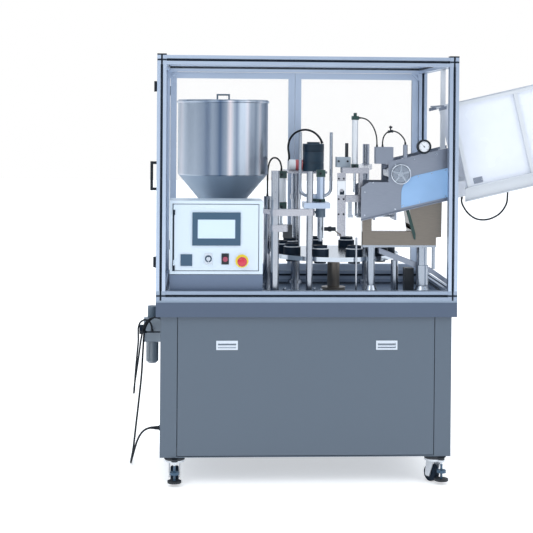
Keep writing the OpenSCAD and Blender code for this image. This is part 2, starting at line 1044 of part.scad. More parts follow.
module caster_wheel(i) {
  at_caster(i) color(black) translate([-wheel_w / 2, trail, wheel_r]) rotate([0, 90, 0]) rotate_extrude()
    polygon([
      [axle_r + run_fit, 0], [hub_r, 0], [hub_r, hub_step], [wheel_r - 2 * tyre_round, hub_step],
      [wheel_r - tyre_round, 0], [wheel_r, tyre_round], [wheel_r, wheel_w - tyre_round],
      [wheel_r - tyre_round, wheel_w], [wheel_r - 2 * tyre_round, wheel_w - hub_step],
      [hub_r, wheel_w - hub_step], [hub_r, wheel_w], [axle_r + run_fit, wheel_w]
    ]);
}

// Control box
box_right = box_left + box_w;
box_door = [box_left + box_rim_side + box_door_gap, box_right - box_rim_side - box_door_gap];
box_door_z = [box_z + box_rim, box_z + box_h - box_rim];

module at_box_hinge(z) {
  translate([box_door[0] - box_door_gap / 2, box_y, z]) children();
}

module control_box() {
  color(stainless) {
    difference() {
      block([box_left, box_right], [box_y, box_y + box_d], [box_z, box_z + box_h]);
      block(
        [box_left + sheet, box_right - sheet], [box_y + sheet, box_y + box_d - sheet],
        [box_z + sheet, box_z + box_h - sheet]
      );
      block(
        box_door + [-box_door_gap, box_door_gap], [box_y - cut, box_y + 2 * sheet],
        box_door_z + [-box_door_gap, box_door_gap]
      );
    }
    difference() {
      block([box_left, box_right], [box_y, box_y + box_d], [table_h, table_h + plinth_h]);
      block([box_left + sheet, box_right - sheet], [box_y + sheet, box_y + box_d - sheet],
        [table_h - cut, table_h + plinth_h - sheet]);
    }
    slab((box_left + box_right) / 2, box_y + box_d / 2, table_h + plinth_h, box_w / 2, box_d / 2, box_seat);
    for (z = [box_door_z[0], box_door_z[1] - hinge_l]) at_box_hinge(z) hinge_fixed(small_hinge, hinge_l);
  }
}

module control_door() {
  color(stainless) {
    difference() {
      block(box_door, [box_y, box_y + door_sheet], box_door_z);
      block(
        [1, 1] * hmi[0] + [-1, 1] * (hmi_body_w / 2 + seat), [box_y - cut, box_y + door_sheet + cut],
        [1, 1] * (table_h + hmi[1]) + [-1, 1] * (hmi_body_h / 2 + seat)
      );
      block(
        [1, 1] * meter[0] + [-1, 1] * (meter_body / 2 + seat), [box_y - cut, box_y + door_sheet + cut],
        [1, 1] * (table_h + meter[1]) + [-1, 1] * (meter_body / 2 + seat)
      );
      for (c = [key_at, start_at, stop_at])
        pin_y(c[0], box_y - cut, table_h + c[1], body_hole_r, door_sheet + 2 * cut);
    }
    for (z = [box_door_z[0], box_door_z[1] - hinge_l]) at_box_hinge(z) hinge_moving(small_hinge, hinge_l);
  }
}

// A square plate with a body behind it, set in the door
module door_insert(at, w, h, t, body_w, body_h, body_t) {
  z = table_h + at[1];
  block([at[0] - w / 2, at[0] + w / 2], [box_y - t - seat, box_y - seat], [z - h / 2, z + h / 2]);
  block([at[0] - body_w / 2, at[0] + body_w / 2], [box_y - t, box_y + body_t],
    [z - body_h / 2, z + body_h / 2]);
}

// A switch body behind the door with a bore for what moves in it
module switch_body(at, bore_r) {
  z = table_h + at[1];
  difference() {
    union() {
      children();
      pin_y(at[0], box_y - legend_t - seat, z, body_r, body_t);
    }
    pin_y(at[0], box_y - body_t, z, bore_r, 2 * body_t - legend_t - cut);
  }
}

module control_fittings() {
  color(black) {
    difference() {
      door_insert(hmi, hmi_w, hmi_h, hmi_t, hmi_body_w, hmi_body_h, hmi_body_t);
      block(
        [hmi[0] - hmi_view_w / 2, hmi[0] + hmi_view_w / 2],
        [box_y - hmi_t - cut, box_y - hmi_t - seat + hmi_view_sink],
        [table_h + hmi[1] - hmi_view_h / 2, table_h + hmi[1] + hmi_view_h / 2]
      );
    }
    door_insert(meter, meter_side, meter_side, meter_t, meter_body, meter_body, meter_body_t);
    for (c = [key_at, start_at]) switch_body(c, plunger_r + run_fit) difference() {
      union() {
        slab(c[0], box_y - legend_t / 2 - seat, table_h + c[1] - legend_h / 2, legend_w, legend_t,
          legend_h);
        pin_y(c[0], box_y - legend_t - collar_t, table_h + c[1], collar_r, collar_t);
      }
      pin_y(c[0], box_y - legend_t - collar_t - cut, table_h + c[1], recess_r, recess_t + cut);
    }
    switch_body(stop_at, stop_neck_r + run_fit)
      pin_y(stop_at[0], box_y - stop_ring_t - seat, table_h + stop_at[1], stop_ring_r, stop_ring_t);
  }
}

module key_switch() {
  z = table_h + key_at[1];
  face = box_y - legend_t - collar_t;
  color(stainless) {
    pin_y(key_at[0], face - seat, z, key_disc_r, key_disc_t);
    pin_y(key_at[0], face, z, plunger_r, plunger_l);
    difference() {
      block(
        [key_at[0] - key_bow_t / 2, key_at[0] + key_bow_t / 2], [face - key_bow_out, face],
        [z - key_bow_l, z + key_bow_w / 2]
      );
      pin_x(key_at[0] - key_bow_w, face - key_bow_out / 2, z - key_bow_l + 2 * key_hole_r, key_hole_r,
        2 * key_bow_w);
      block(
        [key_at[0] - key_bow_w, key_at[0] + key_bow_w], [face - key_bow_out / 3, face + cut],
        [z - key_bow_l - cut, z - key_disc_r]
      );
    }
  }
}

module start_button() {
  z = table_h + start_at[1];
  face = box_y - legend_t - collar_t;
  color([0.1, 0.6, 0.2]) {
    pin_y(start_at[0], face - button_out, z, button_r, button_out - seat);
    pin_y(start_at[0], face - cut, z, plunger_r, plunger_l);
  }
}

module stop_button() {
  z = table_h + stop_at[1];
  face = box_y - stop_ring_t - seat;
  color([0.8, 0.1, 0.1]) {
    pin_y(stop_at[0], face - stop_stand - stop_cap_t, z, stop_cap_r, stop_cap_t);
    pin_y(stop_at[0], face - stop_stand - cut, z, stop_neck_r, stop_stand + plunger_l);
  }
}

// Hopper and its lid
module hopper() {
  z = table_h + cone_z;
  top = z + cone_h + hopper_wall_h;
  color(stainless) translate([hopper_at[0], hopper_at[1], 0]) rotate_extrude($fn = 72) {
    polygon([
      [outlet_r - hopper_t, z - outlet_h], [outlet_r, z - outlet_h], [outlet_r, z],
      [hopper_r, z + cone_h], [hopper_r, top - rim_r], [hopper_r - hopper_t, top - rim_r],
      [hopper_r - hopper_t, z + cone_h + hopper_t], [outlet_r - hopper_t, z + hopper_t]
    ]);
    translate([hopper_r, top - rim_r]) circle(rim_r, $fn = 12);
  }
}

module hopper_lid() {
  z = table_h + cone_z + cone_h + hopper_wall_h + seat;
  x = hopper_at[0];
  y = hopper_at[1];
  h = z + lid_handle_h;
  color(stainless) {
    pin(x, y, z, hopper_r, lid_t);
    difference() {
      pin(x, y, z - lid_lip_h, hopper_r - hopper_t - rim_r - lid_fit, lid_lip_h);
      pin(x, y, z - lid_lip_h - cut, hopper_r - 2 * hopper_t - rim_r - lid_fit, lid_lip_h + cut);
    }
    for (s = [-1, 1]) pin(x + s * (lid_handle_w / 2 - lid_handle_r), y, z, lid_handle_r, lid_handle_h);
    pin_x(x - lid_handle_w / 2, y, h, lid_handle_r, lid_handle_w);
  }
}

module filling_pump() {
  x = hopper_at[0];
  y = hopper_at[1];
  top = table_h + cone_z - outlet_h - seat;
  low = table_h + valve_z;
  color(stainless) {
    slab(x, y, low, valve_w, valve_w, top - low);
    pin_x(x + valve_w / 2, y, (low + top) / 2, pump_outlet_r, pump_outlet_l);
    pin(x, y, table_h + pump_foot_t + seat, pump_r, low - table_h - pump_foot_t - 2 * seat);
    for (z = [table_h + pump_foot_t + seat, low - pump_cap_t - seat])
      pin(x, y, z, pump_r + pump_cap_over, pump_cap_t);
    slab(x, y, table_h, pump_foot_w, pump_foot_w, pump_foot_t);
    for (sx = [-1, 1]) for (sy = [-1, 1])
      pin(x + sx * pump_post_out, y + sy * pump_post_out, table_h + pump_foot_t, pump_post_r / 2,
        low - table_h - pump_foot_t + valve_w / 4);
  }
}

// Turntable, its column and its drive
module turntable_column() {
  color(stainless) difference() {
    union() {
      pin(table_x, 0, table_h, column_foot_r, column_foot_t);
      pin(table_x, 0, table_h, column_r, disc_z - boss_t - 2 * seat);
    }
    pin(table_x, 0, table_h - cut, shaft_r + shaft_fit, disc_z + cut);
  }
}

module drive_unit() {
  top = table_h - plate_t - seat;
  color(grey_paint) difference() {
    union() {
      slab(table_x, 0, top - gear_h, gear_w, gear_w, gear_h);
      pin_x(table_x - gear_w / 2 - motor_flange_t, 0, top - gear_h / 2, motor_flange_r, motor_flange_t);
      pin_x(table_x - gear_w / 2 - motor_flange_t - motor_l, 0, top - gear_h / 2, motor_r, motor_l);
    }
    pin(table_x, 0, top - shaft_drop - seat, shaft_r + shaft_fit, shaft_drop + cut);
  }
}

module turntable() {
  color(stainless) {
    difference() {
      pin(table_x, 0, disc_low, disc_r, disc_t, $fn = 96);
      for (i = [0 : station_count - 1])
        pin(station(i)[0], station(i)[1], disc_low - cut, disc_hole_r, disc_t + 2 * cut);
    }
    pin(table_x, 0, disc_low - boss_t, boss_r, boss_t - seat);
    pin(table_x, 0, table_h - plate_t - shaft_drop, shaft_r, shaft_drop + disc_z + plate_t - boss_t);
  }
}

module tube_cups() {
  z0 = -disc_t - seat - cup_nut_h;
  z1 = seat;
  z2 = z1 + cup_low_h;
  z3 = z2 + cup_line_h;
  z4 = z3 + cup_top_h;
  color([0.16, 0.30, 0.34]) for (i = [0 : station_count - 1])
    translate([station(i)[0], station(i)[1], disc_top]) {
      rotate_extrude() polygon([
        [through_r, z0], [spigot_r, z0], [spigot_r, z1], [cup_r, z1], [cup_r, z2],
        [cup_line_r, z2], [cup_line_r, z3], [cup_top_r, z3], [cup_top_r, z4],
        [cup_bore_r, z4], [cup_bore_r, cup_floor], [through_r, cup_floor]
      ]);
      translate([0, 0, z0]) difference() {
        cylinder(r = cup_nut_r, h = cup_nut_h, $fn = cup_nut_sides);
        translate([0, 0, -cut]) cylinder(r = (through_r + spigot_r) / 2, h = cup_nut_h + 2 * cut);
      }
    }
}

// Columns and arms round the turntable
module column(at, r, h) {
  pin(at[0], at[1], table_h, r, h);
  pin(at[0], at[1], table_h, r + column_seat_over, column_seat_t);
}

module station_posts() {
  color(stainless) {
    column(fl_post, fl_post_r, fl_post_h);
    column(head_post, head_post_r, head_post_h);
    column(nozzle_post, nozzle_post_r, nozzle_post_h);
    column(heater_post, heater_post_r, heater_post_h);
    pin(heater_post[0], heater_post[1], table_h + heater_collar_z, heater_collar_r, heater_collar_h);
    column(crimp_post, crimp_post_r, crimp_post_h);
    pin(crimp_tool[0] + guard_rod_at[0], guard_rod_at[1], table_h, guard_rod_r, guard_z - seat);
  }
}

// A flat arm that clamps on one upright and reaches to another point
module arm(a, b, ra, rb, z, t, hole_a, hole_b) {
  translate([0, 0, table_h + z]) linear_extrude(t) difference() {
    hull() {
      translate(a) circle(ra);
      translate(b) circle(rb);
    }
    translate(a) circle(hole_a);
    translate(b) circle(hole_b);
  }
}

module station_arms() {
  x = crimp_tool[0];
  y = crimp_tool[1];
  z = table_h + crimp_arm_z;
  color(stainless) {
    arm(fl_post, head_post, cross_d / 2, cross_d / 2, cross_z, cross_h, fl_post_r + clamp_fit,
      head_post_r + clamp_fit);
    arm(fl_post, [fl_post[0] + low_arm_l, fl_post[1]], cross_d / 2, cross_d / 2, low_arm_z, low_arm_h,
      fl_post_r + clamp_fit, clamp_fit);
    arm(nozzle_post, fill_tool, nozzle_arm_r, nozzle_arm_r, nozzle_arm_z, nozzle_arm_h,
      nozzle_post_r + clamp_fit, nozzle_rod_r + run_fit);
    block(shelf_x, shelf_y, [table_h + heater_post_h, table_h + heater_post_h + shelf_t]);
    difference() {
      union() {
        block(crimp_head_x + [x, x], crimp_head_y + [y, y], [z, z + crimp_arm_t]);
        arm(crimp_post, [x, y], crimp_arm_r, crimp_arm_r, crimp_arm_z, crimp_arm_t, clamp_fit, clamp_fit);
      }
      pin(x, y, z - cut, ram_r + 2 * clamp_fit, crimp_arm_t + 2 * cut);
      pin(crimp_post[0], crimp_post[1], z - cut, crimp_post_r + clamp_fit, crimp_arm_t + 2 * cut);
    }
    block(hanger_x + [x, x], [y - hanger_t / 2, y + hanger_t / 2], [table_h + hanger_z, z - seat]);
    for (s = [-1, 1]) {
      difference() {
        block(
          [x - jaw_yoke_w / 2, x + jaw_yoke_w / 2],
          [y + s * (jaw_d / 2 + jaw_yoke_t / 2 + 2 * seat) - jaw_yoke_t / 2,
            y + s * (jaw_d / 2 + jaw_yoke_t / 2 + 2 * seat) + jaw_yoke_t / 2],
          [table_h + jaw_yoke_z, table_h + jaw_yoke_z + jaw_yoke_h]
        );
        for (t = [-1, 1]) pin_y(x + t * jaw_half, y - jaw_d, table_h + jaw_pin_z, jaw_pin_r + run_fit,
          2 * jaw_d);
      }
      block(
        [x + jaw_half - jaw_strap_w / 2, x + jaw_half + jaw_strap_w / 2],
        [y + s * (jaw_d / 2 + jaw_yoke_t / 2 + 2 * seat) - jaw_yoke_t / 2,
          y + s * (jaw_d / 2 + jaw_yoke_t / 2 + 2 * seat) + jaw_yoke_t / 2],
        [table_h + jaw_yoke_z + jaw_yoke_h, z]
      );
    }
  }
  color([0.85, 0.86, 0.86]) {
    block([fl_post[0] + low_arm_l + seat, fl_post[0] + low_arm_l + seat + sensor_w],
      [fl_post[1] + cross_d / 4, fl_post[1] + cross_d / 4 + sensor_d],
      [table_h + sensor_z, table_h + sensor_z + sensor_h]);
    block(block_x + [x, x], [y - seat, y - seat + block_d],
      [z + crimp_arm_t + seat, z + crimp_arm_t + seat + block_h]);
    pin(x + block_x[1] - 2 * spindle_r, y + block_d / 2, z + crimp_arm_t + block_h, spindle_r, spindle_h);
    difference() {
      slab(x + hanger_x[0] + white_w / 2, y - hanger_t / 2 - white_t / 2 - seat,
        table_h + jaw_yoke_z + jaw_yoke_h, white_w, white_t, white_h);
      block(
        [x + hanger_x[0] + white_w / 2 - white_hole / 2, x + hanger_x[0] + white_w / 2 + white_hole / 2],
        [y - block_d, y],
        [table_h + jaw_yoke_z + jaw_yoke_h + white_hole, table_h + jaw_yoke_z + jaw_yoke_h + 2 * white_hole]
      );
    }
  }
}

// Air cylinders of the filling nozzle and of the crimping ram
module air_cylinders() {
  z = table_h + nozzle_arm_z + nozzle_arm_h + seat;
  x = crimp_tool[0];
  y = crimp_tool[1];
  cz = table_h + crimp_arm_z + crimp_arm_t + seat;
  color(aluminium) {
    difference() {
      union() {
        slab(fill_tool[0], fill_tool[1], z, fill_cap_w, fill_cap_w, fill_cap_low);
        pin(fill_tool[0], fill_tool[1], z, fill_cyl_r, fill_cap_low + fill_cyl_h + fill_cap_top);
        slab(fill_tool[0], fill_tool[1], z + fill_cap_low + fill_cyl_h, fill_cap_w, fill_cap_w,
          fill_cap_top);
      }
      pin(fill_tool[0], fill_tool[1], z - cut, nozzle_rod_r + run_fit, nozzle_in * 2 + cut);
    }
    difference() {
      union() {
        slab(x, y, cz, crimp_cap_w, crimp_cap_w, crimp_cap_low);
        pin(x, y, cz, crimp_cyl_r, crimp_cap_low + crimp_cyl_h + crimp_cap_top);
        slab(x, y, cz + crimp_cap_low + crimp_cyl_h, crimp_cap_w, crimp_cap_w, crimp_cap_top);
        slab(x, y, cz + crimp_cap_low + crimp_cyl_h + crimp_cap_top, crimp_eye_r * 2, crimp_eye_t,
          crimp_eye_l);
      }
      pin(x, y, cz - cut, ram_r + run_fit, ram_in * 2 + cut);
    }
  }
}

module filling_nozzle() {
  z = table_h + nozzle_z;
  color(stainless) {
    pin(fill_tool[0], fill_tool[1], z, nozzle_tip_r, nozzle_tip_h);
    pin(fill_tool[0], fill_tool[1], z + nozzle_tip_h, nozzle_rod_r,
      nozzle_arm_z + nozzle_arm_h - nozzle_z - nozzle_tip_h + nozzle_in);
  }
}

module hot_air_blower() {
  z = table_h + heater_post_h + shelf_t + seat;
  x = blower_at[0];
  y = blower_at[1];
  color(black) difference() {
    union() {
      pin(x, y, z, blower_r, blower_h);
      pin(x, y, z + blower_h, blower_neck_r, blower_neck_h);
    }
    for (s = [0.3, 0.7]) difference() {
      pin(x, y, z + s * blower_h, blower_r + cut, blower_groove);
      pin(x, y, z + s * blower_h - cut, blower_r - blower_groove, blower_groove + 2 * cut);
    }
  }
  color([0.75, 0.15, 0.12])
    pin_x(x - blower_r - seat - heater_l, y, z + heater_z, heater_r, heater_l);
  color(grey_paint)
    slab(x - blower_r - heater_l / 2, terminal_y, z, terminal_w, terminal_d, terminal_h);
}

module air_hoses() {
  color(black) {
    translate([0, 0, table_h]) {
      swept(ARC_ROUTE, arc_r);
      swept(LINE_ROUTE, hose_r);
      swept(CYLINDER_ROUTE, thin_hose_r);
      swept(PLUG_ROUTE, thin_hose_r);
    }
    swept([
      for (c = UNDER_HANG)
        [lean(c[0], 0)[0], mag_y + mag_w + rail_d / 2, lean(c[0], -rail_drop - c[1])[1]]
    ], hose_r);
  }
}

// Hot air head and the pipes it carries
module hot_air_head() {
  z = table_h + head_z;
  x = air_tool[0];
  y = air_tool[1];
  color(aluminium) {
    difference() {
      block(head_x, head_y, [z, z + head_h]);
      pin(head_post[0], head_post[1], z - cut, head_post_r + run_fit, head_h + 2 * cut);
    }
    difference() {
      slab((pipe_x[0] + pipe_x[1]) / 2, pipe_y, z + head_h, saddle_w, 3 * pipe_r,
        table_h + pipe_z - z - head_h + pipe_r / 2);
      pin_x(pipe_x[0], pipe_y, table_h + pipe_z, pipe_r + clamp_fit, pipe_x[1] - pipe_x[0]);
    }
    slab(x, y, z + head_h, head_cap_w, head_cap_w, head_cap_low);
    pin(x, y, z + head_h, head_cyl_r, head_cap_low + head_cyl_h);
    slab(x, y, z + head_h + head_cap_low + head_cyl_h, head_cap_w, head_cap_w, head_cap_top);
    pin(x, y, z - air_nozzle_h + air_tip_h, air_nozzle_r, air_nozzle_h - air_tip_h);
    pin(x, y, z - air_nozzle_h, air_tip_r, air_tip_h);
  }
  color(black) {
    pin(x, y, z - clamp_h, clamp_r, clamp_h);
    pin_x(x - clamp_r - grip_rod_l, y, z - clamp_h / 2, grip_rod_r, grip_rod_l + clamp_r);
    pin_x(x - clamp_r - grip_rod_l - grip_l, y, z - clamp_h / 2, grip_r, grip_l);
  }
}

module pipe_corner() {
  rotate([90, 0, 0]) rotate_extrude(angle = 90, $fn = 32) translate([pipe_bend, 0])
    circle(pipe_r, $fn = 16);
}

module exhaust_pipes() {
  z = table_h + pipe_z;
  color(stainless) {
    for (s = [0, 1]) {
      translate([pipe_x[s] + (s == 0 ? pipe_bend : -pipe_bend), pipe_y, z + pipe_bend])
        mirror([1 - s, 0, 0]) mirror([0, 0, 1]) pipe_corner();
      translate([pipe_x[s], pipe_y, z + pipe_bend])
        cylinder(r = pipe_r, h = pipe_top - pipe_z - pipe_bend, $fn = 16);
    }
    translate([pipe_x[0] + pipe_bend, pipe_y, z]) rotate([0, 90, 0])
      cylinder(r = pipe_r, h = pipe_x[1] - pipe_x[0] - 2 * pipe_bend, $fn = 16);
  }
}

// Crimping ram and jaws
module crimp_ram() {
  z = table_h + ram_z;
  color(stainless) {
    pin(crimp_tool[0], crimp_tool[1], z, ram_end_r, ram_end_h);
    pin(crimp_tool[0], crimp_tool[1], z, ram_r, crimp_arm_z + crimp_arm_t - ram_z + ram_in);
  }
}

module crimp_jaw(s) {
  x = crimp_tool[0];
  z = table_h + jaw_pin_z;
  color(stainless) translate([x, crimp_tool[1], 0]) mirror([s, 0, 0]) {
    translate([0, -jaw_d / 2, 0]) upright(0, jaw_d) {
      translate([-jaw_half, z]) circle(jaw_eye_r);
      polygon([
        [-jaw_half - jaw_out, z + jaw_top / 2], [-jaw_half - jaw_out, z - jaw_drop],
        [-jaw_in + jaw_head_t, z - jaw_drop], [-jaw_in + jaw_head_t, z - jaw_drop + jaw_eye_r],
        [-jaw_in, z - jaw_drop + 2 * jaw_eye_r], [-jaw_in, z + jaw_top / 2]
      ]);
    }
    pin_y(-jaw_half, -jaw_d / 2 - jaw_yoke_t, z, jaw_pin_r, jaw_d + 2 * jaw_yoke_t);
  }
}

// Discharge chute
module chute_side(y, t, lift, drop) {
  p = [for (c = chute_points) [c[0], table_h + c[1]]];
  upright(y, t) polygon([
    for (c = p) c - [0, lift],
    for (i = [len(p) - 1 : -1 : 0]) p[i] - [0, drop]
  ]);
}

module discharge_chute() {
  x = chute_post[0];
  z = table_h + chute_post_h;
  color(stainless) {
    chute_side(chute_y[0], sheet, 0, chute_deep);
    chute_side(chute_y[1] - sheet, sheet, 0, chute_deep);
    chute_side(chute_y[0], chute_y[1] - chute_y[0], chute_deep - sheet, chute_deep);
    block([x - chute_lug_w / 2, x + chute_lug_w / 2], [chute_y[1], chute_post[1]],
      [z + seat, z + seat + sheet]);
    block([x - chute_lug_w / 2, x + chute_lug_w / 2], [chute_y[1], chute_y[1] + sheet],
      [z + seat, z + chute_deep]);
  }
}

// Magazine
module leaning(x, z, l, h, y, t) {
  upright(y, t) polygon([lean(x, z), lean(x + l, z), lean(x + l, z + h), lean(x, z + h)]);
}

module magazine_plates() {
  a = lean(wheel_at[0], wheel_at[1]);
  color(stainless) {
    for (y = [mag_y, mag_y + mag_w - mag_plate_t]) difference() {
      upright(y, mag_plate_t) polygon([
        lean(0, 0), lean(mag_plate_l, 0), lean(mag_plate_l, mag_plate_h),
        lean(mag_ramp, mag_plate_h), [mag_x + mag_ramp, mag_step_z],
        [mag_x + mag_step_x, mag_step_z], lean(0, mag_left_h)
      ]);
      pin_y(a[0], y - cut, a[1], star_shaft_r + run_fit, mag_plate_t + 2 * cut);
      if (y == mag_y) leaning(window_x + window_over, window_z + window_over,
        window_l - 2 * window_over, window_h - 2 * window_over - window_round / 2, y - cut,
        mag_plate_t + 2 * cut);
    }
    leaning(0, -mag_lip_t, mag_plate_l, mag_lip_t, mag_y - mag_lip, mag_lip + mag_plate_t);
  }
}

module magazine_window() {
  y = mag_y - window_t - seat;
  color([0.2, 0.4, 0.6, 0.6]) upright(y, window_t) polygon([
    lean(window_x, window_z), lean(window_x + window_l, window_z),
    lean(window_x + window_l, window_z + window_h),
    for (a = [0 : 15 : 90])
      lean(window_x + window_round * (1 - sin(a)), window_z + window_h - window_round * (1 - cos(a)))
  ]);
}

module magazine_rails() {
  y0 = mag_y - seat;
  y1 = mag_y + mag_w + seat;
  end = rail_x + bin_l;
  x2 = hanger_x2;
  color(aluminium) {
    leaning(bed_x, bed_z - bed_t, end - bed_x, bed_t, mag_y + mag_plate_t + seat,
      mag_w - 2 * mag_plate_t - 2 * seat);
    for (f = [0, 1]) {
      y = f == 0 ? y0 - rail_d : y1;
      difference() {
        leaning(rail_x, -rail_drop, bin_l, rail_h, y, rail_d);
        leaning(rail_x - cut, -rail_drop + rail_t, bin_l + 2 * cut, rail_h - 2 * rail_t,
          f == 0 ? y - cut : y + rail_t, rail_d - rail_t + cut);
      }
      ty = f == 0 ? y0 - top_rail : y1;
      leaning(rail_x - top_rail_back, bin_h, bin_l + top_rail_back - bin_h * sin(mag_angle), top_rail,
        ty, top_rail);
      for (s = strut_at) {
        b = lean(rail_x + s, rail_h - rail_drop + seat);
        l = (bin_h - rail_h + rail_drop - 3 * seat) * cos(mag_angle);
        dx = -l * slope;
        h = bin_h - rail_h + rail_drop - 2 * seat;
        upright(f == 0 ? y0 - strut_t : y1, strut_t) polygon([
          b, b + [strut_w, strut_w * slope],
            b + [strut_w + dx * cos(mag_angle), strut_w * slope + dx * cos(mag_angle) * slope + h],
          b + [dx * cos(mag_angle), dx * cos(mag_angle) * slope + h]
        ]);
      }
    }
    for (x = [rail_x - top_rail_back + top_rail, rail_x + bin_l - bin_h * sin(mag_angle) - 2 * top_rail]) {
      b = lean(x, bin_h + top_rail + seat);
      slab(b[0], mag_y + mag_w / 2, b[1], top_rail, mag_w + 2 * top_rail, top_rail / 2);
    }
    for (x = [mag_ramp + mag_lip, mag_plate_l / 2, mag_plate_l - mag_lip]) {
      b = lean(x, mag_plate_h - mag_lip);
      pin_y(b[0], mag_y + mag_plate_t + seat, b[1], tie_r, mag_w - 2 * mag_plate_t - 2 * seat);
    }
    block(mag_block_x + [mag_x, mag_x],
      [mag_y + mag_plate_t + seat, mag_y + mag_plate_t + mag_block_d],
      mag_block_z + [table_h + mag_z, table_h + mag_z]);
    block([x2 - hanger_side / 2, x2 + hanger_side / 2],
      [hanger_y - hanger_side / 2, hanger_y + hanger_side / 2],
      [table_h + cross_member_z + hanger_side / 2 + seat, frame_h - bar - seat]);
    slab(x2, mag_y + mag_w / 2, table_h + cross_member_z - hanger_side / 2, hanger_side,
      mag_w - 2 * mag_plate_t - 2 * seat, hanger_side);
    for (x = [load_tool[0] - cradle_half - lug_t / 2 + seat,
      load_tool[0] + cradle_half - lug_t / 2 - seat]) difference() {
      translate([x, 0, 0]) rotate([90, 0, 90]) linear_extrude(lug_t - 2 * seat) hull() {
        translate([cradle_y, table_h + cradle_z]) circle(lug_r, $fn = 24);
        translate([mag_y + mag_plate_t + seat, table_h + cradle_z - lug_r]) square([cut, lug_r + lug_top]);
      }
      pin_x(x - cut, cradle_y, table_h + cradle_z, cradle_pin_r + run_fit, lug_t + 2 * cut);
    }
  }
  color(black) pin(plug_x, mag_y + mag_plate_t / 2 - plug_r - cut, table_h + plug_z, plug_r, plug_h);
}

module magazine_panels() {
  dx = -(bin_h - rail_h) * sin(mag_angle) * cos(mag_angle);
  color(clear) for (y = [mag_y + seat, mag_y + mag_w - mag_plate_t + seat])
    upright(y, mag_plate_t - 2 * seat) polygon([
    lean(rail_x + cut, -rail_drop + rail_t), lean(rail_x + bin_l - cut, -rail_drop + rail_t),
    lean(rail_x + bin_l - cut, rail_h - rail_drop), lean(rail_x + bin_l + dx, bin_h - seat),
    lean(rail_x + dx, bin_h - seat), lean(rail_x + cut, rail_h)
  ]);
}

module feed_wheel() {
  a = lean(wheel_at[0], wheel_at[1]);
  y0 = mag_y + mag_plate_t + star_gap;
  l = mag_w - 2 * mag_plate_t - 2 * star_gap;
  hub_y = mag_y - window_t - hub_t - 2 * seat;
  color([0.8, 0.8, 0.78]) {
    difference() {
      pin_y(a[0], y0, a[1], star_r, l);
      for (i = [0 : star_pockets - 1])
        pin_y(a[0] + (star_r + cut) * cos(360 * i / star_pockets), y0 - cut,
          a[1] + (star_r + cut) * sin(360 * i / star_pockets), star_pocket_r, l + 2 * cut);
    }
    pin_y(a[0], hub_y, a[1], star_shaft_r, mag_y + mag_w - hub_y);
    pin_y(a[0], hub_y, a[1], hub_r2, hub_t);
  }
}

module tipping_cradle() {
  z = table_h + cradle_z;
  color(stainless) {
    pin_x(load_tool[0] - cradle_half - lug_t / 2, cradle_y, z, cradle_pin_r, 2 * cradle_half + lug_t);
    difference() {
      pin_y(load_tool[0], cradle_y - cradle_l / 2, z + cradle_tube_z, cradle_r, cradle_l);
      pin_y(load_tool[0], cradle_y - cradle_l, z + cradle_tube_z, cradle_r - cradle_t, 2 * cradle_l);
      block([load_tool[0] - 2 * cradle_r, load_tool[0] + 2 * cradle_r],
        [cradle_y - cradle_l, cradle_y + cradle_l],
        [z + cradle_tube_z, z + 2 * cradle_r + cradle_tube_z]);
    }
    slab(load_tool[0], cradle_y, z - cradle_pin_r, cradle_r, 2 * cradle_pin_r,
      cradle_pin_r + cradle_tube_z - cradle_r + cradle_t / 2);
  }
}

// Stand below the magazine
module magazine_stand() {
  y = (beam_y[0] + beam_y[1]) / 2;
  z = table_h + beam_z;
  b = lean(beam_x[0] - mag_x, -mag_lip_t - 2 * seat);
  color(stainless) {
    tube_bar(beam_x, beam_y, [z, z + beam_h], 0);
    for (i = [0, 1]) {
      pin(stand_post_x[i], y, table_h, stand_post_r[i], beam_z - seat);
      translate([stand_post_x[i], y, table_h])
        cylinder(r1 = stand_foot_r[i], r2 = stand_post_r[i] + cut, h = stand_foot_h);
    }
    pin(stand_post_x[1], y, table_h + stand_foot_h, stand_clamp_r, stand_clamp_h);
    pin(pole_x, y + 0, table_h + pole_z, pole_r, beam_z - pole_z - seat);
    column(chute_post, chute_post_r, chute_post_h);
    upright(beam_y[0], beam_y[1] - beam_y[0]) polygon([
      [beam_x[0], z + beam_h + seat], [beam_x[0] + support_w, z + beam_h + seat],
      b + [support_w, support_w * slope], b
    ]);
  }
  l = lean(cover_x[0] - mag_x, -mag_lip_t - 2 * seat);
  r = lean(cover_x[1] - mag_x, -mag_lip_t - 2 * seat);
  color(stainless) difference() {
    upright(cover_y[0], cover_y[1] - cover_y[0]) polygon([
      l, [cover_low[0], table_h + cover_low[1]], [cover_x[1] - cut, table_h + cover_low_right], r
    ]);
    block([beam_x[0], beam_x[1] + 2 * seat], [beam_y[0] - seat, beam_y[1] + 2 * seat],
      [z - cut, z + beam_h + 2 * seat]);
    block([cover_x[0] + 5 * cover_t, cover_x[1] - 3 * cover_t],
      [cover_y[0] + cover_t, cover_y[1] - cover_t], [z + beam_h + 2 * cover_t, l[1] - cover_t]);
  }
  color([0.05, 0.25, 0.2]) upright(cover_y[0] - strip_t - seat, strip_t) polygon([
    lean(cover_x[0] - mag_x + strip_top, -mag_lip_t - 2 * seat),
    lean(cover_x[0] - mag_x + strip_top + strip_w, -mag_lip_t - 2 * seat),
    [cover_low[0] + strip_w, table_h + cover_low[1] + cut], [cover_low[0], table_h + cover_low[1] + cut]
  ]);
  color(black) block(dark_x, dark_y, [table_h, table_h + dark_h]);
}

// Gauges: dial, rim and stem
module gauge(r, t) {
  difference() {
    cylinder(r = r, h = t);
    translate([0, 0, t - gauge_sink]) cylinder(r = r - gauge_rim, h = gauge_sink + cut);
  }
}

